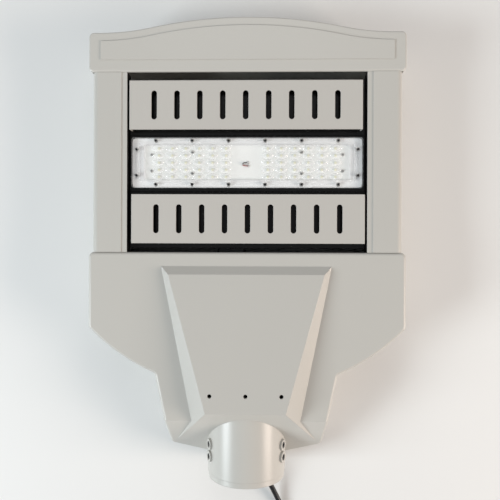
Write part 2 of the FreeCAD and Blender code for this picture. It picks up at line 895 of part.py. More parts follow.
def grommet_outline(lip):
    """The flat grommet's rounded section around the module cable."""
    half = S.grommet_width / 2 + lip
    end = S.grommet_height / 2 + lip
    x = module_cable_x
    z = S.module_cable_height
    return [
        (x - half + end, z + end), (x - half + end, z - end, end),
        (x + half - end, z - end), (x + half - end, z + end, end),
    ]


# Driver compartment

gasket_outer = S.skin + S.cover_ledge_width * GASKET_SHARE


def make_driver_cover():
    body = new_body("driver_cover")
    inset = S.skin + S.fit_gap
    plan = outline(body, "driver_cover_plan", "XY_Plane", inner_outline(inset, S.fit_gap),
                   S.cover_recess)
    grow(body, "driver_cover_plate", plan, S.cover_thickness)
    for number, (x, y) in enumerate(cover_screw_places(), start=1):
        cylinder_tool(body, "Subtractive", f"driver_cover_hole_{number}", S.cover_screw_diameter,
                      cover_top, (x, y, 0), UP)


def make_cover_gasket():
    body = new_body("driver_cover_gasket")
    edge = S.skin + S.cover_ledge_width
    outer_plan = outline(body, "cover_gasket_outer", "XY_Plane",
                         inner_outline(gasket_outer, gasket_outer - S.skin), cover_top)
    grow(body, "cover_gasket_sheet", outer_plan, S.cover_gasket_thickness)
    inner_plan = outline(body, "cover_gasket_inner", "XY_Plane",
                         inner_outline(edge, S.cover_ledge_width), cover_top)
    sink(body, "cover_gasket_window", inner_plan, S.cover_gasket_thickness)


def make_cover_screws():
    places = [(x, y, S.cover_recess) for x, y in cover_screw_places()]
    screws("driver_cover_screws", S.cover_screw_diameter, S.cover_screw_length, places, UP)


def make_driver():
    body = new_body("led_driver")
    case = outline(body, "driver_plan", "XY_Plane",
                   centred(S.driver_length, S.driver_width, 0, S.driver_y), cover_top)
    grow(body, "driver_case", case, S.driver_height)
    ears = outline(body, "driver_ear_plan", "XY_Plane",
                   centred(S.driver_length + S.driver_ear * 2, S.driver_ear * 2, 0, S.driver_y),
                   cover_top)
    grow(body, "driver_ears", ears, S.driver_ear_thickness)


def make_terminal_block():
    body = new_body("terminal_block")
    plan = outline(body, "terminal_plan", "XY_Plane",
                   centred(S.terminal_length, S.terminal_width, 0, S.terminal_y), cover_top)
    grow(body, "terminal_base", plan, S.terminal_height * TERMINAL_BASE_SHARE)
    ridge = outline(body, "terminal_ridge_plan", "XY_Plane",
                    centred(S.terminal_length, S.terminal_width / 2, 0, S.terminal_y), cover_top)
    grow(body, "terminal_ridge", ridge, S.terminal_height)
    pitch = S.terminal_length / TERMINAL_WAYS
    entry_height = S.terminal_height * TERMINAL_ENTRY_SHARE
    entry = outline(body, "terminal_entry_plan", "XY_Plane",
                    centred(pitch / 2, S.terminal_width * 2, -pitch, S.terminal_y),
                    cover_top + entry_height)
    first = sink(body, "terminal_entry", entry, entry_height)
    row(body, "terminal_entries", [first], "X_Axis", TERMINAL_WAYS, pitch)


# Glands, grommet and the cable to the light module


def hexagon(name, across_flats, length, place, direction):
    """A six-sided nut along a direction."""
    feature = document.addObject("Part::Prism", name)
    feature.Polygon = HEXAGON_SIDES
    bind(feature, "Circumradius", across_flats / Length.of(3).root())
    bind(feature, "Height", length)
    aim(feature, place, direction)
    return feature


def make_cable_gland():
    x = S.gland_x
    z = S.gland_z
    thread_front = S.bulkhead_front + S.gland_nut
    thread = solid_cylinder("gland_thread", S.gland_thread_diameter,
                            S.bulkhead_thickness + S.gland_nut, (x, thread_front, z), REARWARDS)
    lock_nut = hexagon("gland_lock_nut", S.gland_hex, S.gland_nut,
                       (x, S.bulkhead_front, z), FRONTWARDS)
    collar = hexagon("gland_collar", S.gland_hex, S.gland_nut, (x, bulkhead_rear, z), REARWARDS)
    dome_front = bulkhead_rear - S.gland_nut
    dome = document.addObject("Part::Cone", "gland_dome")
    bind(dome, "Radius1", S.gland_hex / 2)
    bind(dome, "Radius2", S.cable_diameter * GLAND_TIP_SHARE)
    bind(dome, "Height", S.gland_dome)
    aim(dome, (x, dome_front, z), REARWARDS)
    gland = joined("cable_gland", [thread, lock_nut, collar, dome])
    gland.Label = "cable_gland"
    NODES["cable_gland"] = gland


def make_grommet():
    body = new_body("module_grommet")
    wall_front = -S.window_rear
    neck = outline(body, "grommet_neck_plan", "XZ_Plane", grommet_outline(0), wall_front)
    grow(body, "grommet_neck", neck, S.skin)
    front = outline(body, "grommet_front_plan", "XZ_Plane", grommet_outline(0), wall_front)
    grow(body, "grommet_front", front, S.grommet_reach, up=False)
    back = outline(body, "grommet_back_plan", "XZ_Plane", grommet_outline(S.grommet_lip),
                   wall_front + S.skin)
    grow(body, "grommet_back", back, S.grommet_lip)


def pipe(node, points, radii, diameter):
    """A round tube along straight runs joined by tangent arcs of the given radii."""
    edges = []
    at = points[0]
    for before, corner, after, radius in zip(points, points[1:], points[2:], radii):
        arriving = (corner - before).normalize()
        leaving = (after - corner).normalize()
        turn = arriving.getAngle(leaving)
        reach = radius * math.tan(turn / 2)
        start = corner - arriving * reach
        end = corner + leaving * reach
        inward = (leaving - arriving).normalize()
        middle = corner + inward * (radius / math.cos(turn / 2) - radius)
        edges.append(Part.LineSegment(at, start).toShape())
        edges.append(Part.Arc(start, middle, end).toShape())
        at = end
    edges.append(Part.LineSegment(at, points[-1]).toShape())
    path = Part.Wire(edges)
    circle = Part.Circle(points[0], points[1] - points[0], diameter / 2)
    section = Part.Wire(circle.toShape())
    shape = path.makePipeShell([section], True, True)
    expected = math.pi * diameter * diameter / 4 * path.Length
    print(f"{node}: length {path.Length:.1f}, volume over section times length "
          f"{shape.Volume / expected:.4f}, radii {[round(radius, 1) for radius in radii]}")
    feature = document.addObject("Part::Feature", node)
    feature.Label = node
    feature.Shape = shape
    NODES[node] = feature
    return feature


def make_module_cable():
    x = module_cable_x.number
    front = (S.window_rear + S.grommet_reach).number
    low = S.module_cable_height.number
    high = (S.sink_seat_height + S.sink_base).number
    hole = S.bay_middle.number
    points = [
        FreeCAD.Vector(x, front, low), FreeCAD.Vector(x, hole, low), FreeCAD.Vector(x, hole, high),
    ]
    pipe("module_cable", points, [S.module_cable_bend.number], S.module_cable_diameter.number)


# Heat sinks

sink_top = S.sink_seat_height + S.sink_base


def make_heatsink(node, number):
    body = new_body(node)
    middle = bay_y(number)
    base = outline(body, f"{node}_base_plan", "XY_Plane",
                   centred(S.sink_length, S.sink_width, 0, middle), S.sink_seat_height)
    grow(body, f"{node}_base", base, S.sink_base)
    first = -S.fin_pitch * (S.fin_count - 1) / 2
    fin_plan = outline(body, f"{node}_fin_plan", "XY_Plane",
                       centred(S.fin_thickness, S.sink_width, first, middle), S.sink_seat_height)
    fin = grow(body, f"{node}_fin", fin_plan, S.fin_depth, up=False)
    row(body, f"{node}_fins", [fin], "X_Axis", S.fin_count, S.fin_pitch)
    for side in SIDES:
        place = (sink_screw_x * side, middle, S.sink_seat_height - S.ledge_thickness)
        cylinder_tool(body, "Subtractive", f"{node}_thread_{side + 2}", S.sink_screw_diameter,
                      S.sink_base * THROUGH, place, UP)
    if number == MODULE_BAY:
        place = (module_cable_x, middle, S.sink_seat_height - S.sink_base)
        cylinder_tool(body, "Subtractive", f"{node}_cable_hole", S.module_cable_diameter,
                      S.sink_base * THROUGH, place, UP)


def make_heatsink_screws():
    seat = S.sink_seat_height - S.ledge_thickness
    places = [(sink_screw_x * side, bay_y(number), seat) for number in BAYS for side in SIDES]
    screws("heatsink_screws", S.sink_screw_diameter, S.ledge_thickness + S.sink_base, places, UP)


# Slotted blank plates


def make_blank_plate(node, number, aside):
    """A slotted sheet that stands on its two folded ends over an empty heat sink."""
    body = new_body(node)
    x = aside
    y = bay_y(number) + S.plate_shift
    plan = outline(body, f"{node}_plan", "XY_Plane", centred(S.plate_length, S.plate_width, x, y),
                   sink_top)
    grow(body, f"{node}_block", plan, S.plate_height)
    inside = outline(body, f"{node}_inside_plan", "XY_Plane",
                     centred(S.plate_length - S.plate_sheet * 2, S.plate_width + S.plate_sheet * 2,
                             x, y), sink_top)
    sink(body, f"{node}_inside", inside, S.plate_height - S.plate_sheet)
    first = x - S.slot_pitch * (S.slot_count - 1) / 2
    straight = (S.slot_length - S.slot_width) / 2
    half = S.slot_width / 2
    slot_plan = outline(body, f"{node}_slot_plan", "XY_Plane", [
        (first + half, y + straight), (first - half, y + straight, half),
        (first - half, y - straight), (first + half, y - straight, half)], sink_top)
    slot = sink(body, f"{node}_slot", slot_plan, S.plate_height + S.plate_sheet)
    row(body, f"{node}_slots", [slot], "X_Axis", S.slot_count, S.slot_pitch)


# Light module

lens_y = bay_y(MODULE_BAY) + S.lens_shift
lens_seat = sink_top + S.lens_gasket_height


def make_lens_gasket():
    body = new_body("lens_gasket")
    inner_length = S.lens_block_length + S.fit_gap
    inner_width = S.lens_block_width + S.fit_gap
    sheet_plan = outline(body, "lens_gasket_plan", "XY_Plane",
                         centred(S.lens_length - S.lens_gasket_inset * 2,
                                 S.lens_width - S.lens_gasket_inset * 2, 0, lens_y), sink_top)
    grow(body, "lens_gasket_sheet", sheet_plan, S.lens_gasket_height)
    window = outline(body, "lens_gasket_window_plan", "XY_Plane",
                     centred(inner_length, inner_width, 0, lens_y), sink_top)
    sink(body, "lens_gasket_window", window, S.lens_gasket_height)


def make_led_board():
    body = new_body("led_board")
    plan = outline(body, "board_plan", "XY_Plane",
                   centred(S.board_length, S.board_width, 0, lens_y), sink_top)
    grow(body, "board", plan, S.board_thickness)


def led_places():
    """The middle of every light-emitting diode, in plan."""
    half_gap = S.led_middle_gap / 2
    columns = int(S.led_columns.number)
    rows = int(S.led_rows.number)
    return [
        ((half_gap + S.led_column_pitch * column) * side,
         lens_y + S.led_row_pitch * (line - (rows - 1) / 2))
        for side in SIDES for column in range(columns) for line in range(rows)
    ]


def make_led_chips():
    half = S.led_size / 2
    top = sink_top + S.board_thickness
    chips = [
        solid_box(f"led_{number}", x - half, y - half, top, S.led_size, S.led_size, S.led_height)
        for number, (x, y) in enumerate(led_places(), start=1)
    ]
    group("led_chips", chips)


def make_lens_plate():
    body = new_body("lens_plate")
    flange_top = lens_seat + S.lens_flange
    block_top = flange_top + S.lens_block_rise
    flange_plan = outline(body, "lens_flange_plan", "XY_Plane",
                          centred(S.lens_length, S.lens_width, 0, lens_y), lens_seat)
    flange = grow(body, "lens_flange", flange_plan, S.lens_flange)
    round_edges(body, "lens_corners", flange, S.lens_flange, is_upright)
    block_plan = outline(body, "lens_block_plan", "XY_Plane",
                         centred(S.lens_block_length, S.lens_block_width, 0, lens_y), lens_seat)
    grow(body, "lens_block", block_plan, S.lens_flange + S.lens_block_rise)
    first_y = lens_y - S.led_row_pitch * (S.led_rows - 1) / 2
    repeat_domes(body, make_dome(body, (S.led_middle_gap / 2, first_y, block_top)))
    inside = outline(body, "lens_inside_plan", "XY_Plane",
                     centred(S.lens_block_length - S.lens_wall * 2,
                             S.lens_block_width - S.lens_wall * 2, 0, lens_y), lens_seat)
    sink(body, "lens_inside", inside, block_top - S.lens_wall - lens_seat)


def make_dome(body, place):
    """One lens dome: a block whose four sides lean inwards to a smaller top."""
    dome = body.newObject("PartDesign::AdditiveWedge", "dome")
    dome.Placement = FreeCAD.Placement(FreeCAD.Vector(), FreeCAD.Rotation(FreeCAD.Vector(1, 0, 0), 90))
    for axis, value in zip("xyz", place):
        bind(dome, f"Placement.Base.{axis}", value)
    for axis, size in (("X", S.dome_length / 2), ("Z", S.dome_width / 2)):
        bind(dome, f"{axis}min", -size)
        bind(dome, f"{axis}max", size)
        bind(dome, f"{axis}2min", S.dome_bank - size)
        bind(dome, f"{axis}2max", size - S.dome_bank)
    bind(dome, "Ymin", 0)
    bind(dome, "Ymax", S.dome_height)
    return dome


def repeat_domes(body, dome):
    """Repeat one dome over every diode, in rows, columns and both halves."""
    lines = document.addObject("PartDesign::LinearPattern", "dome_lines")
    lines.Direction = (datum(body, "Y_Axis"), [""])
    bind(lines, "Length", S.led_row_pitch * (S.led_rows - 1))
    bind(lines, "Occurrences", S.led_rows)
    columns = document.addObject("PartDesign::LinearPattern", "dome_columns")
    columns.Direction = (datum(body, "X_Axis"), [""])
    bind(columns, "Length", S.led_column_pitch * (S.led_columns - 1))
    bind(columns, "Occurrences", S.led_columns)
    halves = document.addObject("PartDesign::Mirrored", "dome_halves")
    halves.MirrorPlane = (datum(body, "YZ_Plane"), [""])
    domes = body.newObject("PartDesign::MultiTransform", "domes")
    domes.Originals = [dome]
    domes.Transformations = [lines, columns, halves]
    body.Tip = domes


# Screws of the frame and the spigot


def make_frame_screws():
    ports = port_places()
    screws("front_cap_screws", S.rail_screw_diameter,
           cap_screw_seat - S.window_front + S.cap_screw_grip,
           [(x, cap_screw_seat, z) for x, z in ports], REARWARDS)
    screws("rail_screws", S.rail_screw_diameter, S.rail_screw_length,
           [(x, S.window_rear - S.skin, z) for x, z in ports], FRONTWARDS)


def make_set_screws():
    """Socket set screws along the spigot's radii, each sunk below its boss."""
    made = []
    inner = S.boss_reach - S.set_screw_sink - S.set_screw_length
    for name, place, tilt in set_screw_places():
        shank = document.addObject("Part::Cylinder", f"set_screw_shank_{name}")
        bind(shank, "Radius", S.set_screw_diameter / 2)
        socket = document.addObject("Part::Prism", f"set_screw_socket_{name}")
        bind(socket, "Circumradius", S.set_screw_socket / Length.of(3).root())
        for feature, start in ((shank, inner), (socket, inner + S.set_screw_length / 2)):
            bind(feature, "Height", S.set_screw_length)
            side = 1 if tilt.number > 0 else -1
            along = S.boss_tilt.of_angle("cos") * side
            aim(feature, (start * along, place[1],
                          place[2] + start * S.boss_tilt.of_angle("sin")), UP, tilt)
        cut = document.addObject("Part::Cut", f"set_screw_{name}")
        cut.Base = shank
        cut.Tool = socket
        made.append(cut)
    group("spigot_set_screws", made)


# Input cable, from the gland out of the spigot's mouth to a coil on the floor


def arc_radii(points):
    """For each inner point of a route, 0.45 of the shorter run over the tangent of half the turn."""
    radii = []
    for before, corner, after in zip(points, points[1:], points[2:]):
        turn = (corner - before).getAngle(after - corner)
        run = min((corner - before).Length, (after - corner).Length)
        radii.append(ARC_SHARE * run / math.tan(turn / 2))
    return radii


def make_input_cable():
    exit_y = (bulkhead_rear - S.gland_nut - S.gland_dome).number
    x = S.gland_x.number
    z = S.gland_z.number
    half = S.cable_diameter.number / 2
    route = [
        (x, exit_y, z), (x, exit_y - 26, z), (x + 7, exit_y - 62, z - 6),
        (x + 24, exit_y - 98, z - 24), (x + 40, exit_y - 134, half), (x + 54, exit_y - 166, half),
    ]
    points = [FreeCAD.Vector(*corner) for corner in route]
    pipe("input_cable", points, arc_radii(points), S.cable_diameter.number)
    make_coil(points[-2], points[-1])


def make_coil(before, start):
    """One closed ring around the coiled turns, with the stub where the cable runs into it."""
    radius = S.coil_radius.number
    thick = S.cable_diameter.number
    heading = FreeCAD.Vector(start.x - before.x, start.y - before.y, 0).normalize()
    across = FreeCAD.Vector(-heading.y, heading.x, 0)
    run_in = math.sqrt(2 * radius * thick + thick * thick)
    touch = start + heading * run_in
    centre = FreeCAD.Vector(touch.x - across.x * radius, touch.y - across.y * radius, 0)
    height = thick * S.coil_turns.number
    outer = Part.makeCylinder(radius + thick / 2, height, centre)
    inner = Part.makeCylinder(radius - thick / 2, height, centre)
    stub = Part.makeCylinder(thick / 2, run_in, start, heading)
    feature = document.addObject("Part::Feature", "input_cable_coil")
    feature.Label = "input_cable_coil"
    feature.Shape = outer.cut(inner).fuse(stub).removeSplitter()
    NODES["input_cable_coil"] = feature
    print(f"coil: centre {centre}, touch {touch}")


make_front_cap()
make_rail("rail_left", -1)
make_rail("rail_right", 1)
make_rear_housing()
make_driver_cover()
make_cover_gasket()
make_cover_screws()
make_driver()
make_terminal_block()
make_cable_gland()
make_grommet()
make_module_cable()
make_heatsink("heatsink_front", 1)
make_heatsink("heatsink_middle", 2)
make_heatsink("heatsink_rear", 3)
make_heatsink_screws()
make_blank_plate("blank_plate_front", 1, S.front_plate_aside)
make_blank_plate("blank_plate_rear", 3, S.rear_plate_aside)
make_lens_gasket()
make_led_board()
make_led_chips()
make_lens_plate()
make_frame_screws()
make_set_screws()
make_input_cable()
document.recompute()

faults = [
    f"{feature.Name} {feature.State}" for feature in document.Objects
    if "Invalid" in feature.State or "Error" in feature.State
]
faults += [node for node, feature in NODES.items()
           if feature.Shape.isNull() or not feature.Shape.isValid()]
if faults:
    raise RuntimeError(f"these failed: {faults}")

os.makedirs("parts", exist_ok=True)
for node, feature in NODES.items():
    feature.Shape.exportStep(f"parts/{node}.step")
    box = feature.Shape.BoundBox
    print(f"{node}: {len(feature.Shape.Solids)} solids, {feature.Shape.Volume:.0f} mm3, "
          f"z {box.ZMin:.1f} to {box.ZMax:.1f}")
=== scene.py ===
"""A street light head on its back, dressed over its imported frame. Lengths are in metres."""

import logging
import math
from dataclasses import dataclass, field
from enum import Enum
from typing import Callable, Optional, Sequence, Union

import bmesh
import bpy
from mathutils import Matrix, Vector

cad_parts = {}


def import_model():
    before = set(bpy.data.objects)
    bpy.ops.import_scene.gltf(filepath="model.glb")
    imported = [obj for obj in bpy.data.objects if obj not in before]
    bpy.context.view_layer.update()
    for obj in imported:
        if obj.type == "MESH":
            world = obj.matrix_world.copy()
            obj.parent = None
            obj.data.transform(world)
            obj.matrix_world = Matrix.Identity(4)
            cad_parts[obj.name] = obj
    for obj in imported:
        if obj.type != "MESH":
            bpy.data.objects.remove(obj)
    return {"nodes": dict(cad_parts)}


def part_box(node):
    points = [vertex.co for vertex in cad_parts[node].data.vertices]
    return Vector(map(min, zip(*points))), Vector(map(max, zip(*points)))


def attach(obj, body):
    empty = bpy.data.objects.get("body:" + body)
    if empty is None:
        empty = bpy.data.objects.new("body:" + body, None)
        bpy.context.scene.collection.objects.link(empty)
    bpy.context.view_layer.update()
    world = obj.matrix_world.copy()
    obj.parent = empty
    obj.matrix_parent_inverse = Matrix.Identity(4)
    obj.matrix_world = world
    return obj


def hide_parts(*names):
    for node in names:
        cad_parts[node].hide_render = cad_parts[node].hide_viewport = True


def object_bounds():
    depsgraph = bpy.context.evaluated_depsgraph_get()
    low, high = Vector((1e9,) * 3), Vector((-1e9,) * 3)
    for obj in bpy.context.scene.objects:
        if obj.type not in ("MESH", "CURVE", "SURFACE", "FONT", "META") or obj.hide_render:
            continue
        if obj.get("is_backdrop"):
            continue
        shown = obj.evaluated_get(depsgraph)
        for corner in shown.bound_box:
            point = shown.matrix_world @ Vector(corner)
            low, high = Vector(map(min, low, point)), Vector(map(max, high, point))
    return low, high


LOG = logging.getLogger("street_light_head")

Colour = tuple[float, float, float]
Place = tuple[float, float, float]

MM = 0.001
SIDES = (-1, 1)
ROOT = "root"
BLACK = (0.006, 0.006, 0.006)


def from_screen(red: int, green: int, blue: int) -> Colour:
    """Turn a colour as a screen shows it, in steps of 255, into the renderer's own values.

    Args:
        red: The red part.
        green: The green part.
        blue: The blue part.

    Returns:
        The three linear parts.
    """
    steps = [part / 255 for part in (red, green, blue)]
    red_part, green_part, blue_part = [
        step / 12.92 if step <= 0.04045 else ((step + 0.055) / 1.055) ** 2.4 for step in steps
    ]
    return (red_part, green_part, blue_part)


# Finishes


class Signal:
    """One value inside a material, open to plain arithmetic."""

    def __init__(self, recipe: "Recipe", socket: bpy.types.NodeSocket) -> None:
        """Keep the material's recipe and the socket that gives the value."""
        self.recipe = recipe
        self.socket = socket

    def _work_out(self, operation: str, first: "Input", second: "Input") -> "Signal":
        """Join two values through a Math node of the named operation."""
        return self.recipe.node("ShaderNodeMath", {"operation": operation}, {0: first, 1: second})

    def __add__(self, other: "Input") -> "Signal":
        """Add a value."""
        return self._work_out("ADD", self, other)

    def __radd__(self, other: "Input") -> "Signal":
        """Be added to a value."""
        return self._work_out("ADD", other, self)

    def __sub__(self, other: "Input") -> "Signal":
        """Take a value away."""
        return self._work_out("SUBTRACT", self, other)

    def __rsub__(self, other: "Input") -> "Signal":
        """Be taken away from a value."""
        return self._work_out("SUBTRACT", other, self)

    def __mul__(self, other: "Input") -> "Signal":
        """Multiply by a value."""
        return self._work_out("MULTIPLY", self, other)

    def __rmul__(self, other: "Input") -> "Signal":
        """Be multiplied by a value."""
        return self._work_out("MULTIPLY", other, self)

    def __lt__(self, other: "Input") -> "Signal":
        """Give 1 where this is less than a value, and 0 elsewhere."""
        return self._work_out("LESS_THAN", self, other)

    def __abs__(self) -> "Signal":
        """Drop the sign."""
        return self._work_out("ABSOLUTE", self, 0.0)


Input = Union[Signal, float, Sequence[float]]


class Recipe:
    """The nodes of one procedural material."""

    def __init__(self, name: str) -> None:
        """Start an empty material of that name."""
        self.material = bpy.data.materials.new(name)
        self.material.use_nodes = True
        self.tree = self.material.node_tree
        self.tree.nodes.clear()

    def node(self, kind: str, settings: Optional[dict[str, object]] = None,
             inputs: Optional[dict[Union[str, int], Input]] = None,
             output: Union[str, int] = 0) -> Signal:
        """Add one node.

        Args:
            kind: The node's type.
            settings: Its own settings, which are set first.
            inputs: The value or link of each socket that isn't left as it is.
            output: The socket that the signal is taken from.

        Returns:
            The chosen output as a signal.
        """
        made = self.tree.nodes.new(kind)
        for name, value in (settings or {}).items():
            setattr(made, name, value)
        for name, value in (inputs or {}).items():
            if isinstance(value, Signal):
                self.tree.links.new(value.socket, made.inputs[name])
            else:
                made.inputs[name].default_value = value
        return Signal(self, made.outputs[output])

    def place(self, stretch: Place = (1.0, 1.0, 1.0)) -> Signal:
        """Give each point's place on the head, stretched along its axes.

        Args:
            stretch: How much faster a pattern runs along X, Y and Z.

        Returns:
            The place as a vector.
        """
        own = self.node("ShaderNodeTexCoord", output="Object")
        return self.node("ShaderNodeMapping", None, {"Vector": own, "Scale": stretch})

    def coordinate(self, axis: str) -> Signal:
        """Give each point's place along one axis, in metres.

        Args:
            axis: X, Y or Z.

        Returns:
            The distance along it.
        """
        return self.node("ShaderNodeSeparateXYZ", None, {"Vector": self.place()}, axis)

    def noise(self, size: float, detail: float = 2.0, stretch: Place = (1.0, 1.0, 1.0)) -> Signal:
        """Give a soft random pattern.

        Args:
            size: How far apart its patches lie, in metres.
            detail: How many finer layers it has.
            stretch: How much faster it runs along X, Y and Z.

        Returns:
            A value from 0 to 1 that is mostly near the middle.
        """
        return self.node("ShaderNodeTexNoise", None, {
            "Vector": self.place(stretch), "Scale": 1.0 / size, "Detail": detail})

    def blend(self, share: Signal, first: Union[Signal, Colour], second: Colour) -> Signal:
        """Mix two colours.

        Args:
            share: How much of the second colour there is.
            first: The colour at a share of 0.
            second: The colour at a share of 1.

        Returns:
            The mixed colour.
        """
        mixed = self.tree.nodes.new("ShaderNodeMix")
        mixed.data_type = "RGBA"
        sockets = {item.identifier: item for item in mixed.inputs}
        for name, value in (("Factor_Float", share), ("A_Color", first), ("B_Color", second)):
            if isinstance(value, Signal):
                self.tree.links.new(value.socket, sockets[name])
            else:
                sockets[name].default_value = (*value, 1.0)
        results = {item.identifier: item for item in mixed.outputs}
        return Signal(self, results["Result_Color"])

    def shaded(self, share: Signal, colour: Colour, shade: float) -> Signal:
        """Mix a colour with a darker or brighter form of itself.

        Args:
            share: How much of the other form there is.
            colour: The colour at a share of 0.
            shade: How bright the other form is, with 1 for no change.

        Returns:
            The mixed colour.
        """
        red, green, blue = colour
        return self.blend(share, colour, (red * shade, green * shade, blue * shade))

    def steepness(self) -> Signal:
        """Return how far the surface is turned from facing up, 0 to 1."""
        facing = self.node("ShaderNodeNewGeometry", output="Normal")
        return 1.0 - abs(self.node("ShaderNodeSeparateXYZ", None, {"Vector": facing}, "Z"))

    def bump(self, height: Signal, depth: float, strength: float = 1.0,
             edge: float = 0.0) -> Signal:
        """Turn a height into a surface direction.

        Args:
            height: The pattern, from 0 to 1.
            depth: How deep the pattern is, in metres.
            strength: How much of it shows.
            edge: The radius that the edges under the pattern look rounded by.

        Returns:
            The direction for a shader's Normal socket.
        """
        inputs: dict[Union[str, int], Input] = {
            "Height": height, "Distance": depth, "Strength": strength}
        if edge:
            inputs["Normal"] = self.node("ShaderNodeBevel", {"samples": 6}, {"Radius": edge})
        return self.node("ShaderNodeBump", None, inputs, "Normal")

    def finish(self, **sockets: Input) -> bpy.types.Material:
        """Close the material with one surface shader.

        Args:
            **sockets: The shader's sockets, with an underscore for each space.

        Returns:
            The finished material.
        """
        inputs = {name.replace("_", " "): value for name, value in sockets.items()}
        surface = self.node("ShaderNodeBsdfPrincipled", None, inputs)
        end = self.tree.nodes.new("ShaderNodeOutputMaterial")
        self.tree.links.new(surface.socket, end.inputs["Surface"])
        return self.material


@dataclass(frozen=True)
class PowderCoat:
    """Satin powder paint with its fine orange peel.

    Closer than the first limit to the head's middle line, and lower than the second, it is painted black:
    painted shade for the shadow on the window's inner walls.
    """

    name: str
    colour: Colour
    roughness: float = 0.31
    cloud_size: float = 160 * MM
    fleck_size: float = 0.5 * MM
    peel_size: float = 1.1 * MM
    peel_depth: float = 0.012 * MM
    shade: float = 0.95
    edge: float = 0.9 * MM
    painted_shade_within: float = 0.0
    painted_shade_below: float = 86.2 * MM

    def make(self) -> bpy.types.Material:
        """Return the painted material."""
        recipe = Recipe(self.name)
        cloud = recipe.noise(self.cloud_size, 3.0)
        fleck = recipe.noise(self.fleck_size, 1.0)
        peel = recipe.noise(self.peel_size, 1.5)
        colour = recipe.shaded(cloud * 0.8 + fleck * 0.25, self.colour, self.shade)
        # Painted shade: the window's inner walls are painted black where their shadow falls.
        if self.painted_shade_within:
            painted_shade_mask = (abs(recipe.coordinate("X")) < self.painted_shade_within) * (
                recipe.coordinate("Z") < self.painted_shade_below)
            colour = recipe.blend(painted_shade_mask, colour, BLACK)
        return recipe.finish(Base_Color=colour, Roughness=self.roughness + (fleck - 0.5) * 0.12,
                             Normal=recipe.bump(peel + fleck * 0.4, self.peel_depth,
                                                edge=self.edge))


@dataclass(frozen=True)
class DrawnAluminium:
    """Extruded aluminium with fine lines along its length."""

    name: str
    colour: Colour
    roughness: float
    metallic: float
    shine: float = 0.5
    gleam: float = 1.25
    cloud_size: float = 40 * MM
    line_size: float = 0.5 * MM
    line_depth: float = 0.01 * MM
    line_stretch: Place = (1.0, 0.02, 1.0)

    def make(self) -> bpy.types.Material:
        """Return the metal with its drawing lines."""
        recipe = Recipe(self.name)
        lines = recipe.noise(self.line_size, stretch=self.line_stretch)
        cloud = recipe.noise(self.cloud_size)
        colour = recipe.shaded(cloud * 0.6 + lines * 0.4, self.colour, self.gleam)
        return recipe.finish(Base_Color=colour, Metallic=self.metallic,
                             Specular_IOR_Level=self.shine,
                             Roughness=self.roughness + (lines - 0.5) * 0.2,
                             Normal=recipe.bump(lines, self.line_depth, 0.6))


@dataclass(frozen=True)
class BareMetal:
    """Bright bare metal with a fine grain: steel screws, solder and copper tips."""

    name: str
    colour: Colour = (0.62, 0.61, 0.59)
    roughness: float = 0.28
    mark_size: float = 0.35 * MM
    mark_depth: float = 0.006 * MM
    shade: float = 0.82

    def make(self) -> bpy.types.Material:
        """Return the metal with its handling marks."""
        recipe = Recipe(self.name)
        marks = recipe.noise(self.mark_size)
        return recipe.finish(Base_Color=recipe.shaded(marks, self.colour, self.shade),
                             Metallic=1.0,
                             Roughness=self.roughness + (marks - 0.5) * 0.2,
                             Normal=recipe.bump(marks, self.mark_depth))


class Feel(Enum):
    """How a moulded surface takes the light: its roughness and its grain's depth."""

    GLOSS = (0.22, 0.002 * MM)
    SATIN = (0.42, 0.008 * MM)
    MATT = (0.68, 0.02 * MM)


@dataclass(frozen=True)
class Moulded:
    """Plastic or rubber from a mould."""

    name: str
    colour: Colour
    feel: Feel = Feel.SATIN
    grain_size: float = 0.4 * MM
    shade: float = 0.86
    cloud_size: float = 30 * MM

    def make(self) -> bpy.types.Material:
        """Return the moulded material."""
        recipe = Recipe(self.name)
        roughness, depth = self.feel.value
        grain = recipe.noise(self.grain_size)
        cloud = recipe.noise(self.cloud_size)
        return recipe.finish(Base_Color=recipe.shaded(cloud, self.colour, self.shade),
                             Roughness=roughness + (grain - 0.5) * 0.1,
                             Normal=recipe.bump(grain, depth))


@dataclass(frozen=True)
class ClearMoulding:
    """Clear polycarbonate, with white painted on its slopes: a painted sheen that stands in for the domes'
    highlights.
    """

    name: str
    colour: Colour = (0.97, 0.98, 0.98)
    roughness: float = 0.06
    cover: float = 0.08
    slope_sheen_cover: float = 1.5
    slope_limit: float = 1.3
    see_through: float = 0.4
    refraction: float = 1.49
    flow_size: float = 6 * MM
    flow_depth: float = 0.008 * MM
    shade: float = 0.97

    def make(self) -> bpy.types.Material:
        """Return the clear material."""
        recipe = Recipe(self.name)
        flow = recipe.noise(self.flow_size)
        # Painted sheen: steeper faces are covered more with white, for the highlights on the domes' slopes.
        steep = recipe.steepness()
        slope_sheen = steep * (self.slope_limit - steep) * self.slope_sheen_cover
        return recipe.finish(Base_Color=recipe.shaded(flow, self.colour, self.shade),
                             Roughness=self.roughness + (flow - 0.5) * 0.05,
                             Alpha=self.cover + slope_sheen,
                             Transmission_Weight=self.see_through, IOR=self.refraction,
                             Normal=recipe.bump(flow, self.flow_depth))


@dataclass(frozen=True)
class Phosphor:
    """The yellow layer over a light-emitting diode."""

    name: str
    colour: Colour = from_screen(238, 237, 212)
    roughness: float = 0.35
    skin: float = 0.6
    grain_size: float = 0.25 * MM
    grain_depth: float = 0.01 * MM
    shade: float = 0.85

    def make(self) -> bpy.types.Material:
        """Return the phosphor under its clear skin."""
        recipe = Recipe(self.name)
        grain = recipe.noise(self.grain_size)
        return recipe.finish(Base_Color=recipe.shaded(grain, self.colour, self.shade),
                             Roughness=self.roughness + (grain - 0.5) * 0.1,
                             Coat_Weight=self.skin,
                             Normal=recipe.bump(grain, self.grain_depth))


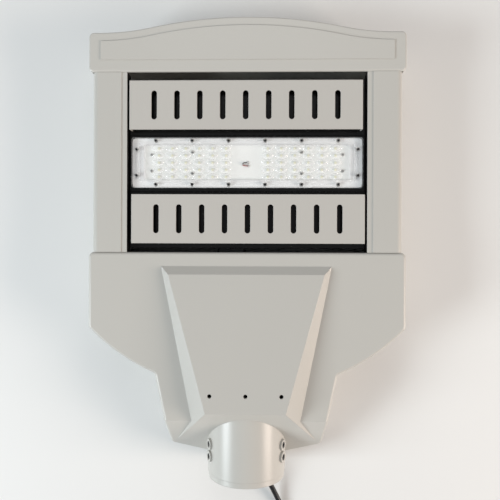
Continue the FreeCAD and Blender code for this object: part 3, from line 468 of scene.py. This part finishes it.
class Finishes:
    """Every finish of the head, made once and shared by its pieces."""

    def __init__(self) -> None:
        """Make the materials."""
        self.body_paint = PowderCoat("body_paint", from_screen(195, 193, 187)).make()
        # The rails' paint turns black on the window's inner walls, as painted shade.
        self.rail_paint = PowderCoat("rail_paint", from_screen(194, 192, 186),
                                     painted_shade_within=149.4 * MM).make()
        self.plate_paint = PowderCoat("plate_paint", from_screen(193, 190, 184), 0.42).make()
        self.steel = BareMetal("stainless_steel").make()
        # Dark steel: the real finish of the spigot's set screws, and painted shade in the cover screws'
        # sockets.
        self.dark_steel = BareMetal("blackened_steel_and_socket_shade", (0.16, 0.16, 0.17), 0.4).make()
        # Painted shade: near-black for the deep insides of the lens screws' sockets.
        self.shadowed_steel = BareMetal("painted_socket_shade", (0.04, 0.04, 0.045), 0.5).make()
        self.black_metal = DrawnAluminium("black_anodised", BLACK, 0.24, 0.0, 0.28).make()
        self.driver_metal = DrawnAluminium("driver_aluminium", (0.55, 0.56, 0.57), 0.38, 0.9).make()
        self.silicone = Moulded("grey_silicone", (0.26, 0.26, 0.25), Feel.MATT).make()
        self.white_silicone = Moulded("white_silicone", (0.92, 0.92, 0.92), Feel.MATT,
                                      shade=0.96).make()
        self.grommet = Moulded("grommet_rubber", (0.09, 0.09, 0.09)).make()
        self.cable = Moulded("cable_rubber", (0.012, 0.012, 0.013), Feel.GLOSS).make()
        self.gland = Moulded("gland_nylon", (0.02, 0.02, 0.021)).make()
        self.terminal = Moulded("terminal_plastic", (0.72, 0.71, 0.68), Feel.GLOSS).make()
        self.board = Moulded("board_lacquer", (0.92, 0.93, 0.91), Feel.GLOSS, 1.2 * MM,
                             0.97).make()
        self.ceramic = Moulded("diode_ceramic", (0.82, 0.83, 0.8), Feel.GLOSS).make()
        self.phosphor = Phosphor("diode_phosphor").make()
        self.solder = BareMetal("solder", (0.7, 0.7, 0.69), 0.35).make()
        self.copper = BareMetal("bare_copper", (0.7, 0.33, 0.17), 0.35).make()
        self.clear = ClearMoulding("clear_polycarbonate").make()
        self.red_wire = Moulded("red_insulation", (0.3, 0.07, 0.06)).make()
        self.black_wire = Moulded("black_insulation", (0.02, 0.02, 0.02)).make()
        self.brown_wire = Moulded("brown_insulation", (0.13, 0.05, 0.02)).make()
        self.blue_wire = Moulded("blue_insulation", (0.02, 0.09, 0.36)).make()
        self.earth_wire = Moulded("earth_insulation", (0.4, 0.48, 0.03)).make()


# Making of pieces


@dataclass(frozen=True)
class Ring:
    """One round section of a turned shape: its number of corners, radius and height."""

    corners: int
    radius: float
    height: float


def turned(bm: bmesh.types.BMesh, rings: Sequence[Ring],
           place: Matrix) -> list[bmesh.types.BMFace]:
    """Add a closed shape that is stacked from rings.

    Args:
        bm: The mesh that it is added to.
        rings: The sections, from the foot to the top; the first and the last are filled.
        place: Where the shape's own axis Z goes.

    Returns:
        The last ring's own face and the faces that lead to it.
    """
    before: list[bmesh.types.BMEdge] = []
    made: dict[str, list[bmesh.types.BMVert]] = {"verts": []}
    last = len(rings) - 1
    for number, ring in enumerate(rings):
        made = bmesh.ops.create_circle(
            bm, cap_ends=number in (0, last), segments=ring.corners, radius=ring.radius,
            matrix=place @ Matrix.Translation((0, 0, ring.height)))
        edges = list({edge for vert in made["verts"] for edge in vert.link_edges})
        if before:
            bmesh.ops.bridge_loops(bm, edges=before + edges)
        before = edges
    return list({face for vert in made["verts"] for face in vert.link_faces})


def block(bm: bmesh.types.BMesh, size: Place, place: Matrix, bevel: float) -> None:
    """Add a box with bevelled edges.

    Args:
        bm: The mesh that it is added to.
        size: The box's lengths along X, Y and Z.
        place: Where its middle goes.
        bevel: The width of its bevels.
    """
    made = bmesh.ops.create_cube(bm, size=1.0, matrix=place @ Matrix.Diagonal((*size, 1.0)))
    edges = list({edge for vert in made["verts"] for edge in vert.link_edges})
    bmesh.ops.bevel(bm, geom=edges, offset=bevel, segments=2, profile=0.5, material=-1,
                    affect="EDGES")


def piece(name: str, bm: bmesh.types.BMesh, material: bpy.types.Material,
          replaced: Sequence[str] = (), crease: float = 35.0,
          inside: Optional[bpy.types.Material] = None) -> bpy.types.Object:
    """Turn a finished mesh into a piece of the head.

    Args:
        name: The piece's name.
        bm: Its mesh, which is used up.
        material: Its finish.
        replaced: The frame's nodes that it stands for.
        crease: The angle in degrees from which an edge stays sharp.
        inside: The darker finish painted into its screws' sockets as shade, where there is one.

    Returns:
        The new object.
    """
    bmesh.ops.remove_doubles(bm, verts=bm.verts, dist=0.001 * MM)
    bmesh.ops.recalc_face_normals(bm, faces=bm.faces)
    mesh = bpy.data.meshes.new(name)
    bm.to_mesh(mesh)
    bm.free()
    mesh.polygons.foreach_set("use_smooth", [True] * len(mesh.polygons))
    mesh.set_sharp_from_angle(angle=math.radians(crease))
    mesh.materials.append(material)
    if inside:
        mesh.materials.append(inside)
    else:
        mesh.polygons.foreach_set("material_index", [0] * len(mesh.polygons))
    return settle(bpy.data.objects.new(name, mesh), replaced)


def settle(made: bpy.types.Object, replaced: Sequence[str] = ()) -> bpy.types.Object:
    """Link a piece to the scene and to the head's body.

    Args:
        made: The new object.
        replaced: The frame's nodes that it stands for.

    Returns:
        The same object.
    """
    bpy.context.scene.collection.objects.link(made)
    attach(made, ROOT)
    if replaced:
        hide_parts(*replaced)
    LOG.info("made %s", made.name)
    return made


def wire(name: str, route: Sequence[Place], radius: float, material: bpy.types.Material) -> bpy.types.Object:
    """Lay a round wire along a smooth line.

    Args:
        name: The piece's name.
        route: The line's control points.
        radius: The wire's radius.
        material: Its finish.

    Returns:
        The wire as a curve.
    """
    curve = bpy.data.curves.new(name, "CURVE")
    curve.dimensions = "3D"
    curve.bevel_depth = radius
    curve.bevel_resolution = 5
    curve.use_fill_caps = True
    spline = curve.splines.new("NURBS")
    spline.points.add(len(route) - 1)
    for point, place in zip(spline.points, route):
        point.co = (*place, 1.0)
    spline.order_u = 3
    spline.use_endpoint_u = True
    spline.resolution_u = 8
    curve.materials.append(material)
    return settle(bpy.data.objects.new(name, curve))


def open_edges(bm: bmesh.types.BMesh) -> list[bmesh.types.BMEdge]:
    """Return the edges that have a face on one side only."""
    return [edge for edge in bm.edges if edge.is_boundary]


@dataclass(frozen=True)
class SocketScrew:
    """A round-headed screw with a six-sided socket, seen from its head."""

    radius: float
    height: float
    socket: float
    shank: float = 0.0
    length: float = 0.0

    def add(self, bm: bmesh.types.BMesh, seat: Place, up: Place = (0, 0, 1)) -> None:
        """Add one screw, with its socket's faces marked for a piece's second finish, the painted shade of
        the socket.

        Args:
            bm: The mesh that it is added to.
            seat: The place under the middle of its head.
            up: The way that its head points.
        """
        turn = Vector((0, 0, 1)).rotation_difference(Vector(up)).to_matrix().to_4x4()
        rings = [
            Ring(20, self.radius, 0.0),
            Ring(20, self.radius, self.height * 0.45),
            Ring(20, self.radius * 0.86, self.height * 0.84),
            Ring(20, self.radius * 0.62, self.height),
            Ring(6, self.socket, self.height),
            Ring(6, self.socket * 0.9, self.height * 0.3),
        ]
        if self.length:
            rings = [Ring(20, self.shank, -self.length), Ring(20, self.shank, 0.0)] + rings
        for face in turned(bm, rings, Matrix.Translation(seat) @ turn):
            face.material_index = 1


# The head


@dataclass
class Casing:
    """The painted castings, rails, plates and the black heat sinks, as the frame gives them."""

    nodes: dict[str, bpy.types.Object]
    finishes: Finishes

    def dress(self) -> None:
        """Give every kept node its finish."""
        looks = self.finishes
        for material, names in (
            (looks.body_paint, ("front_cap", "rear_housing", "driver_cover")),
            (looks.rail_paint, ("rail_left", "rail_right")),
            (looks.plate_paint, ("blank_plate_front", "blank_plate_rear")),
            (looks.black_metal, ("heatsink_front", "heatsink_middle", "heatsink_rear")),
            (looks.silicone, ("driver_cover_gasket",)),
            (looks.driver_metal, ("led_driver",)),
            (looks.terminal, ("terminal_block",)),
            (looks.grommet, ("module_grommet",)),
            (looks.cable, ("module_cable",)),
            (looks.board, ("led_board",)),
            (looks.steel, ("heatsink_screws", "front_cap_screws", "rail_screws")),
            (looks.dark_steel, ("spigot_set_screws",)),
        ):
            for name in names:
                for slot in self.nodes[name].material_slots:
                    slot.material = material
                LOG.info("dressed %s", name)


@dataclass
class LightModule:
    """The clear lens plate with its screws, and the diodes and leads on the board under it."""

    finishes: Finishes
    flange: float = 3.0 * MM
    block_half: tuple[float, float] = (131 * MM, 24 * MM)
    wall: float = 2.0 * MM
    corner: float = 3.0 * MM
    seat_gap: float = 0.1 * MM
    dome_half: tuple[float, float] = (7.6 * MM, 4.1 * MM)
    dome_height: float = 3.0 * MM
    dome_fullness: float = 0.6
    dip_depth: float = 0.18
    dip_tightness: float = 6.0
    column_pitch: float = 16.9 * MM
    row_pitch: float = 8.9 * MM
    middle_gap: float = 52.3 * MM
    columns: int = 6
    rows: int = 5
    grid_step: float = 0.95 * MM
    lens_edge: float = 0.4 * MM
    gasket_step: float = 4 * MM
    gasket_edge: float = 0.3 * MM
    diode_size: float = 3.6 * MM
    diode_height: float = 0.9 * MM
    diode_corner: float = 0.4 * MM
    window_rings: tuple[Ring, ...] = (
        Ring(12, 1.7 * MM, 0.0), Ring(12, 1.55 * MM, 0.12 * MM), Ring(12, 0.8 * MM, 0.25 * MM))
    rib_width: float = 1.4 * MM
    rib_rise: float = 0.7 * MM
    rib_bevel: float = 0.3 * MM
    rib_clearance: float = 1.5 * MM
    rib_spacing: float = 4.0 * MM
    lens_screws_across: tuple[float, ...] = (22.8 * MM, 68.4 * MM, 114.0 * MM)
    lens_screw_row: float = 27.4 * MM
    end_screw_x: float = 138.3 * MM
    end_screw_y: float = 16.3 * MM
    board_screws: tuple[tuple[float, float], ...] = (
        (119.5 * MM, 10.2 * MM), (68.4 * MM, 13.3 * MM))
    lens_screw: SocketScrew = SocketScrew(2.7 * MM, 1.6 * MM, 1.6 * MM)
    board_screw: SocketScrew = SocketScrew(2.2 * MM, 1.2 * MM, 0.8 * MM)
    lead_exit: tuple[float, float] = (-5.0 * MM, -2.0 * MM)
    lead_radius: float = 0.7 * MM
    lead_spread: float = 2.1 * MM
    solder_rings: tuple[Ring, ...] = (
        Ring(14, 1.7 * MM, 0.0), Ring(14, 1.55 * MM, 0.5 * MM), Ring(14, 1.1 * MM, 1.1 * MM),
        Ring(14, 0.4 * MM, 1.4 * MM))
    low: Vector = field(init=False)
    high: Vector = field(init=False)
    middle: Vector = field(init=False)
    flange_top: float = field(init=False)
    block_top: float = field(init=False)
    board_top: float = field(init=False)

    def __post_init__(self) -> None:
        """Read the lens plate's and the board's places from the frame."""
        low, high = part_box("lens_plate")
        self.low = Vector(low)
        self.high = Vector(high)
        self.middle = (self.low + self.high) / 2
        self.flange_top = self.low.z + self.flange
        self.block_top = self.high.z - self.dome_height
        self.board_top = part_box("led_board")[1][2]

    def build(self) -> None:
        """Make every piece of the module."""
        self.make_gasket()
        self.make_lens()
        self.make_ribs()
        self.make_screws()
        self.make_diodes()
        self.make_leads()

    def diode_places(self) -> list[tuple[float, float]]:
        """Return the middle of every diode, in plan."""
        return [
            (side * (self.middle_gap / 2 + self.column_pitch * column),
             self.middle.y + self.row_pitch * (row - (self.rows - 1) / 2))
            for side in SIDES for column in range(self.columns) for row in range(self.rows)
        ]

    def dome_at(self, x: float, y: float) -> float:
        """Give the lens surface's height over its block.

        Args:
            x: The place across the head, from the module's middle.
            y: The place along the head, from the module's middle.

        Returns:
            The height in metres, 0 between the domes.
        """
        column = round((abs(x) - self.middle_gap / 2) / self.column_pitch)
        column = min(max(column, 0), self.columns - 1)
        row = min(max(round(y / self.row_pitch), -(self.rows // 2)), self.rows // 2)
        across = (abs(x) - self.middle_gap / 2 - self.column_pitch * column) / self.dome_half[0]
        along = (y - self.row_pitch * row) / self.dome_half[1]
        reach = min(1.0, across * across + along * along)
        dip = 1.0 - self.dip_depth * math.exp(-self.dip_tightness * across * across)
        return self.dome_height * dip * (1.0 - reach) ** self.dome_fullness

    def make_lens(self) -> None:
        """Make the clear plate: a grid with a dome over each diode, then its walls and flange."""
        bm = bmesh.new()
        half_x, half_y = self.block_half
        unit = self._sheet(bm, half_x, half_y, self.grid_step)
        for vert in bm.verts:
            vert.co.z = self.block_top + self.dome_at(vert.co.x - self.middle.x,
                                                      vert.co.y - self.middle.y)
        outer_x = (self.high.x - self.low.x) / 2
        outer_y = (self.high.y - self.low.y) / 2
        edge = self.lens_edge
        foot = self.low.z + self.seat_gap
        under_x = half_x - self.wall
        under_y = half_y - self.wall
        self._carry_on(bm, unit, [
            (half_x + edge, half_y + edge, edge, self.flange_top),
            (outer_x - edge, outer_y - edge, self.corner - edge, self.flange_top),
            (outer_x, outer_y, self.corner, self.flange_top - edge),
            (outer_x, outer_y, self.corner, foot),
            (under_x, under_y, edge, foot),
            (under_x, under_y, edge, self.block_top - self.wall),
        ])
        bmesh.ops.holes_fill(bm, edges=open_edges(bm), sides=0)
        piece("lens_domes_plate", bm, self.finishes.clear, ["lens_plate"], 50.0)

    def _carry_on(self, bm: bmesh.types.BMesh, unit: bmesh.types.BMLayerItem,
                  outlines: Sequence[tuple[float, float, float, float]]) -> None:
        """Carry the open edge of a plate on through its next round-cornered outlines.

        Args:
            bm: The plate's mesh.
            unit: The layer that keeps each point's place on a square of half width 1.
            outlines: Half the length, half the width, the corner radius and the height of each.
        """
        for half_x, half_y, radius, height in outlines:
            centre = Vector((half_x - radius, half_y - radius))
            for vert in bmesh.ops.extrude_edge_only(bm, edges=open_edges(bm))["geom"]:
                if not isinstance(vert, bmesh.types.BMVert):
                    continue
                point = Vector((abs(vert[unit].x) * half_x, abs(vert[unit].y) * half_y))
                if point.x > centre.x and point.y > centre.y:
                    point = centre + (point - centre).normalized() * radius
                vert.co = (self.middle.x + math.copysign(point.x, vert[unit].x),
                           self.middle.y + math.copysign(point.y, vert[unit].y), height)

    def make_gasket(self) -> None:
        """Make the white gasket, which lies around the board and under the whole flange."""
        low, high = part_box("lens_gasket")
        board_low, board_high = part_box("led_board")
        half_x = (board_high[0] - board_low[0]) / 2 + self.seat_gap
        half_y = (board_high[1] - board_low[1]) / 2 + self.seat_gap
        outer_x = (high[0] - low[0]) / 2
        outer_y = (high[1] - low[1]) / 2
        bm = bmesh.new()
        unit = self._sheet(bm, half_x, half_y, self.gasket_step)
        for vert in bm.verts:
            vert.co.z = high[2]
        window = bm.faces[:]
        edge = self.gasket_edge
        self._carry_on(bm, unit, [
            (outer_x - edge, outer_y - edge, self.corner - edge, high[2]),
            (outer_x, outer_y, self.corner, high[2] - edge),
            (outer_x, outer_y, self.corner, low[2]),
            (half_x, half_y, 0.0, low[2]),
        ])
        bmesh.ops.delete(bm, geom=window, context="FACES")
        bmesh.ops.bridge_loops(bm, edges=open_edges(bm))
        piece("white_gasket", bm, self.finishes.white_silicone, ["lens_gasket"])

    def _sheet(self, bm: bmesh.types.BMesh, half_x: float, half_y: float,
               step: float) -> bmesh.types.BMLayerItem:
        """Add a flat grid around the module's middle.

        Args:
            bm: The mesh that it is added to.
            half_x: Half the grid's length.
            half_y: Half its width.
            step: The distance between its lines.

        Returns:
            The layer that keeps each point's place on a square of half width 1.
        """
        bmesh.ops.create_grid(bm, x_segments=round(2 * half_x / step),
                              y_segments=round(2 * half_y / step), size=1.0)
        unit = bm.verts.layers.float_vector.new("unit_place")
        for vert in bm.verts:
            vert[unit] = vert.co
            vert.co = (self.middle.x + vert.co.x * half_x, self.middle.y + vert.co.y * half_y, 0.0)
        return unit

    def make_ribs(self) -> None:
        """Make the low clear ribs on the flange, between the screws."""
        bm = bmesh.new()
        clear_of_head = self.lens_screw.radius + self.rib_clearance
        stops = sorted(side * x for side in SIDES for x in self.lens_screws_across)
        for side in SIDES:
            ribs = [((start + end) / 2, side * self.lens_screw_row,
                     end - start - 2 * clear_of_head, self.rib_width)
                    for start, end in zip(stops, stops[1:])]
            ribs.append((side * self.end_screw_x, 0.0,
                         self.rib_width, 2 * (self.end_screw_y - clear_of_head)))
            ribs.append((side * (self.end_screw_x - self.rib_spacing), 0.0,
                         self.rib_width, 2 * self.block_half[1]))
            for x, y, across, along in ribs:
                place = (self.middle.x + x, self.middle.y + y,
                         self.flange_top + self.rib_rise / 2)
                block(bm, (across, along, self.rib_rise), Matrix.Translation(place),
                      self.rib_bevel)
        piece("lens_ribs", bm, self.finishes.clear)

    def make_screws(self) -> None:
        """Make the screws around the flange, and those of the board, seen through the lens."""
        flange_places = [(x, self.lens_screw_row) for x in self.lens_screws_across]
        flange_places.append((self.end_screw_x, self.end_screw_y))
        # The lens screws' sockets take the near-black painted shade.
        for name, screw, places, top, inside in (
            ("lens_screws", self.lens_screw, flange_places, self.flange_top,
             self.finishes.shadowed_steel),
            ("board_screws", self.board_screw, self.board_screws, self.board_top, None),
        ):
            bm = bmesh.new()
            for x, y in places:
                for side in SIDES:
                    for end in SIDES:
                        screw.add(bm, (self.middle.x + side * x, self.middle.y + end * y, top))
            piece(name, bm, self.finishes.steel, inside=inside)

    def make_diodes(self) -> None:
        """Make each diode as a ceramic body with its round yellow window."""
        bodies = bmesh.new()
        windows = bmesh.new()
        for x, y in self.diode_places():
            middle = (x, y, self.board_top + self.diode_height / 2)
            made = bmesh.ops.create_cube(bodies, size=1.0, matrix=Matrix.Translation(middle)
                                         @ Matrix.Diagonal((self.diode_size, self.diode_size,
                                                            self.diode_height, 1.0)))
            edges = {edge for vert in made["verts"] for edge in vert.link_edges}
            upright = [edge for edge in edges
                       if abs(edge.verts[0].co.z - edge.verts[1].co.z) > self.diode_height / 2]
            bmesh.ops.bevel(bodies, geom=upright, offset=self.diode_corner, segments=1,
                            profile=0.5, material=-1, affect="EDGES")
            turned(windows, self.window_rings,
                   Matrix.Translation((x, y, self.board_top + self.diode_height)))
        piece("diode_bodies", bodies, self.finishes.ceramic, ["led_chips"])
        piece("diode_windows", windows, self.finishes.phosphor)

    def make_leads(self) -> None:
        """Make the red and the black lead in the clear middle window, and their solder."""
        top = self.board_top
        solder = bmesh.new()
        exit_x, exit_y = self.lead_exit
        exit_y += self.middle.y
        looks = (("red", self.finishes.red_wire, -1, 1.4 * MM),
                 ("black", self.finishes.black_wire, 1, 0.6 * MM))
        for name, material, side, end_x in looks:
            y = exit_y + side * self.lead_spread
            route = [
                (exit_x, exit_y + side * 0.9 * MM, top - 0.5 * MM),
                (exit_x + 0.2 * MM, exit_y + side * 1.0 * MM, top + 2.4 * MM),
                (exit_x + 1.6 * MM, exit_y + side * 1.7 * MM, top + 2.2 * MM),
                (end_x - 1.8 * MM, y, top + 1.4 * MM),
                (end_x, y, top + 0.8 * MM),
            ]
            wire(f"{name}_lead", route, self.lead_radius, material)
            turned(solder, self.solder_rings, Matrix.Translation((end_x + 1.2 * MM, y, top)))
        piece("solder_joints", solder, self.finishes.solder)


@dataclass
class Fasteners:
    """The screws that show on the head's underside, with their sockets."""

    nodes: dict[str, bpy.types.Object]
    finishes: Finishes
    screw_radius: float = 4.5 * MM
    head_height: float = 2.5 * MM
    shank: float = 2.5 * MM
    socket: float = 1.7 * MM

    def build(self) -> None:
        """Make the driver cover's screws in place of the frame's plain ones."""
        bm = bmesh.new()
        for low, high in islands(self.nodes["driver_cover_screws"]):
            seat = ((low.x + high.x) / 2, (low.y + high.y) / 2, low.z + self.head_height)
            screw = SocketScrew(self.screw_radius, self.head_height, self.socket, self.shank,
                                high.z - low.z - self.head_height)
            screw.add(bm, seat, (0, 0, -1))
        # The sockets are painted dark steel as painted shade.
        piece("cover_socket_screws", bm, self.finishes.steel, ["driver_cover_screws"],
              inside=self.finishes.dark_steel)


def islands(node: bpy.types.Object) -> list[tuple[Vector, Vector]]:
    """Find the separate solids of a node.

    Args:
        node: One of the frame's nodes.

    Returns:
        The lowest and highest corner of each solid.
    """
    bm = bmesh.new()
    bm.from_mesh(node.data)
    bmesh.ops.remove_doubles(bm, verts=bm.verts, dist=0.01 * MM)
    left = set(bm.verts)
    found = []
    while left:
        grown = [left.pop()]
        corners = []
        while grown:
            vert = grown.pop()
            corners.append(node.matrix_world @ vert.co)
            near = {edge.other_vert(vert) for edge in vert.link_edges} & left
            left -= near
            grown.extend(near)
        found.append((Vector([min(corner[axis] for corner in corners) for axis in range(3)]),
                      Vector([max(corner[axis] for corner in corners) for axis in range(3)])))
    bm.free()
    return found


@dataclass
class SupplyCable:
    """The input cable from its gland, out of the spigot, to a coil just outside the view."""

    finishes: Finishes
    exit: Place = (8 * MM, -222 * MM, 38 * MM)
    radius: float = 3.5 * MM
    coil_radius: float = 38 * MM
    coil_points: int = 15
    coil_turn: float = 600.0
    climb_from: float = 235.0
    climb_to: float = 345.0
    core_radius: float = 1.1 * MM
    core_length: float = 34 * MM
    core_pitch: float = 1.3 * MM
    core_overlap: float = 2 * MM
    core_steps: tuple[Place, ...] = (
        (0.0, 0.0, 0.0), (8 * MM, 0.0, 0.0), (18 * MM, 3 * MM, -4 * MM))
    core_spread: float = 8 * MM
    bare_length: float = 8 * MM
    gland_dome: float = 12 * MM
    gland_nut: float = 5 * MM
    gland_ribs: int = 12
    thread_radius: float = 8 * MM

    def route(self) -> list[Place]:
        """Return the control points from the gland to the end of the jacket."""
        x, y, z = self.exit
        free = [
            (x, y, z), (x, y - 26 * MM, z), (x + 7 * MM, y - 62 * MM, z - 6 * MM),
            (x + 24 * MM, y - 98 * MM, z - 24 * MM), (x + 40 * MM, y - 134 * MM, self.radius),
            (x + 54 * MM, y - 166 * MM, self.radius),
        ]
        return free + self.coil(Vector(free[-2]), Vector(free[-1]))

    def coil(self, before: Vector, start: Vector) -> list[Place]:
        """Work out the turns that the cable is put away in.

        Args:
            before: The route's last point but one.
            start: The route's last point.

        Returns:
            The turns' control points, twelve or more for each.
        """
        heading = (start - before).normalized()
        across = Vector((-heading.y, heading.x, 0))
        thick = 2 * self.radius
        run_in = math.sqrt(2 * self.coil_radius * thick + thick * thick)
        centre = start + heading * run_in - across * self.coil_radius
        first = math.atan2(across.y, across.x)
        step = 360.0 / self.coil_points
        reach = self.coil_radius / math.cos(math.radians(step / 2)) ** 2
        points = []
        for number in range(round(self.coil_turn / step) + 1):
            turn = number * step
            angle = first - math.radians(turn)
            climb = (turn - self.climb_from) / (self.climb_to - self.climb_from)
            lift = thick * min(1.0, max(0.0, climb))
            points.append((centre.x + reach * math.cos(angle), centre.y + reach * math.sin(angle),
                           self.radius + lift))
        return points

    def build(self) -> None:
        """Make the cable, its bare cores and the gland that it comes out of."""
        route = self.route()
        cable = wire("supply_cable", route, self.radius, self.finishes.cable)
        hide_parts("input_cable", "input_cable_coil")
        cores = self.make_cores(Vector(route[-2]), Vector(route[-1]))
        2 * self.radius
        self.make_gland()

    def make_cores(self, before: Vector, end: Vector) -> list[bpy.types.Object]:
        """Make the three insulated cores beyond the jacket, with their stripped tips.

        Args:
            before: The route's last point but one.
            end: The jacket's end.

        Returns:
            The cores and their tips.
        """
        heading = (end - before).normalized()
        across = Vector((-heading.y, heading.x, 0))
        looks = (("brown", self.finishes.brown_wire, -1), ("blue", self.finishes.blue_wire, 0),
                 ("earth", self.finishes.earth_wire, 1))
        made = []
        for name, material, side in looks:
            start = end + across * side * self.core_pitch - heading * self.core_overlap
            spread = across * side
            route = [start + heading * along + spread * aside + Vector((0, 0, up))
                     for along, aside, up in self.core_steps]
            tail = start + heading * self.core_length + spread * self.core_spread
            route.append(Vector((tail.x, tail.y, self.core_radius)))
            core = wire(f"{name}_core", [tuple(point) for point in route], self.core_radius,
                        material)
            onwards = (route[-1] - route[-2]).xy.to_3d().normalized() * self.bare_length
            tip = wire(f"{name}_core_tip", [tuple(route[-1]), tuple(route[-1] + onwards / 2),
                                            tuple(route[-1] + onwards)],
                       self.core_radius * 0.6, self.finishes.copper)
            made += [core, tip]
        return made

    def make_gland(self) -> None:
        """Make the gland's nuts and its ribbed dome, in place of the frame's plain one."""
        low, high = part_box("cable_gland")
        x, exit_y, z = self.exit
        flats = (high[2] - low[2]) / 2
        turn = Matrix.Rotation(math.radians(90), 4, "X")
        bm = bmesh.new()
        dome = self.gland_dome
        nut = self.gland_nut
        hexagon = flats / math.cos(math.radians(30))
        chamfer = 0.4 * MM
        nut_rings = [Ring(6, hexagon * 0.96, 0.0), Ring(6, hexagon, chamfer),
                     Ring(6, hexagon, nut - chamfer), Ring(6, hexagon * 0.96, nut)]
        base = Matrix.Translation((x, exit_y + dome + nut, z)) @ turn
        turned(bm, nut_rings, base)
        turned(bm, [Ring(24, flats * 0.95, nut), Ring(24, flats * 0.97, nut + 0.5 * MM),
                    Ring(24, flats * 0.95, nut + dome * 0.5),
                    Ring(24, flats * 0.82, nut + dome * 0.78),
                    Ring(24, self.radius * 1.5, nut + dome * 0.96),
                    Ring(24, self.radius * 1.2, nut + dome)], base)
        for number in range(self.gland_ribs):
            angle = math.tau * number / self.gland_ribs
            place = base @ Matrix.Rotation(angle, 4, "Z") @ Matrix.Translation(
                (flats * 0.95, 0, nut + dome * 0.28))
            block(bm, (0.9 * MM, 1.2 * MM, dome * 0.46), place, 0.25 * MM)
        wall = high[1] - (exit_y + dome + nut)
        turned(bm, [Ring(24, self.thread_radius, -wall), Ring(24, self.thread_radius, 0.0)], base)
        turned(bm, nut_rings, Matrix.Translation((x, high[1], z)) @ turn)
        piece("ribbed_gland", bm, self.finishes.gland, ["cable_gland"])


# Studio


@dataclass(frozen=True)
class Lamp:
    """A soft square lamp that faces the head: its place, side, power in watts and colour."""

    name: str
    place: Place
    size: float
    power: float
    colour: Colour

    def hang(self, target: Vector) -> None:
        """Add the lamp to the scene.

        Args:
            target: The point that it faces.
        """
        data = bpy.data.lights.new(self.name, "AREA")
        data.size = self.size
        data.energy = self.power
        data.color = self.colour
        lamp = bpy.data.objects.new(self.name, data)
        lamp.location = self.place
        lamp.rotation_euler = (target - Vector(self.place)).to_track_quat("-Z", "Y").to_euler()
        bpy.context.scene.collection.objects.link(lamp)


@dataclass
class Studio:
    """The camera, the pale floor and the soft lights, cooler left and warmer right."""

    camera_place: Place = (18.9 * MM, 0.85 * MM, 749 * MM)
    camera_lean: float = 1.24
    camera_roll: float = 0.19
    focal_length: float = 38.5
    sensor_width: float = 36.0
    floor_half: float = 6.0
    floor_colour: Colour = (0.8, 0.8, 0.79)
    floor_shade: float = 0.985
    floor_roughness: float = 0.7
    floor_cloud: float = 0.3
    lamp_target: Place = (0.0, 0.0, 0.05)
    lamps: tuple[Lamp, ...] = (
        Lamp("crown", (0.0, 1.2, 1.4), 1.1, 4.5, (1.0, 0.99, 0.97)),
        Lamp("left", (-2.2, -0.75, 1.4), 1.0, 55.0, (0.9, 0.97, 1.0)),
        Lamp("right", (2.3, -0.7, 1.1), 1.1, 52.0, (1.0, 0.87, 0.77)),
    )
    room_colour: Colour = (0.95, 0.97, 1.0)
    room_strength: float = 0.32

    def place_camera(self) -> None:
        """Look almost straight down at the head, from where the photograph was taken."""
        data = bpy.data.cameras.new("camera")
        data.lens = self.focal_length
        data.sensor_width = self.sensor_width
        camera = bpy.data.objects.new("camera", data)
        camera.location = self.camera_place
        camera.rotation_euler = (0, math.radians(self.camera_lean), math.radians(self.camera_roll))
        bpy.context.scene.collection.objects.link(camera)
        bpy.context.scene.camera = camera

    def lay_floor(self) -> None:
        """Lay a plain pale floor under the head."""
        bm = bmesh.new()
        bmesh.ops.create_grid(bm, x_segments=1, y_segments=1, size=self.floor_half)
        mesh = bpy.data.meshes.new("floor")
        bm.to_mesh(mesh)
        bm.free()
        recipe = Recipe("floor_paint")
        colour = recipe.shaded(recipe.noise(self.floor_cloud), self.floor_colour, self.floor_shade)
        mesh.materials.append(recipe.finish(Base_Color=colour, Roughness=self.floor_roughness))
        floor = bpy.data.objects.new("floor", mesh)
        bpy.context.scene.collection.objects.link(floor)
        floor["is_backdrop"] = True

    def light(self) -> None:
        """Hang the lamps and give the room its even light."""
        for lamp in self.lamps:
            lamp.hang(Vector(self.lamp_target))
        world = bpy.data.worlds.new("room")
        world.use_nodes = True
        backdrop = world.node_tree.nodes["Background"]
        backdrop.inputs["Color"].default_value = (*self.room_colour, 1.0)
        backdrop.inputs["Strength"].default_value = self.room_strength
        bpy.context.scene.world = world


def box_of(measure: Callable[[], tuple[Sequence[float], Sequence[float]]]) -> list[list[float]]:
    """Return a box as plain lists of numbers.

    Args:
        measure: The function that measures the box.

    Returns:
        Its lowest and highest corner.
    """
    return [[float(part) for part in corner] for corner in measure()]


def main() -> None:
    """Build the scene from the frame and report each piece."""
    logging.basicConfig(level=logging.INFO, format="%(name)s: %(message)s")
    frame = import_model()
    cad_box = box_of(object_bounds)
    bpy.context.scene.view_settings.view_transform = "Standard"
    studio = Studio()
    studio.place_camera()
    finishes = Finishes()
    SupplyCable(finishes).build()
    Casing(frame["nodes"], finishes).dress()
    LightModule(finishes).build()
    Fasteners(frame["nodes"], finishes).build()
    studio.lay_floor()
    studio.light()
    sizes = {"cad_box": cad_box, "visual_box": box_of(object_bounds)}


if __name__ == "__main__":
    main()
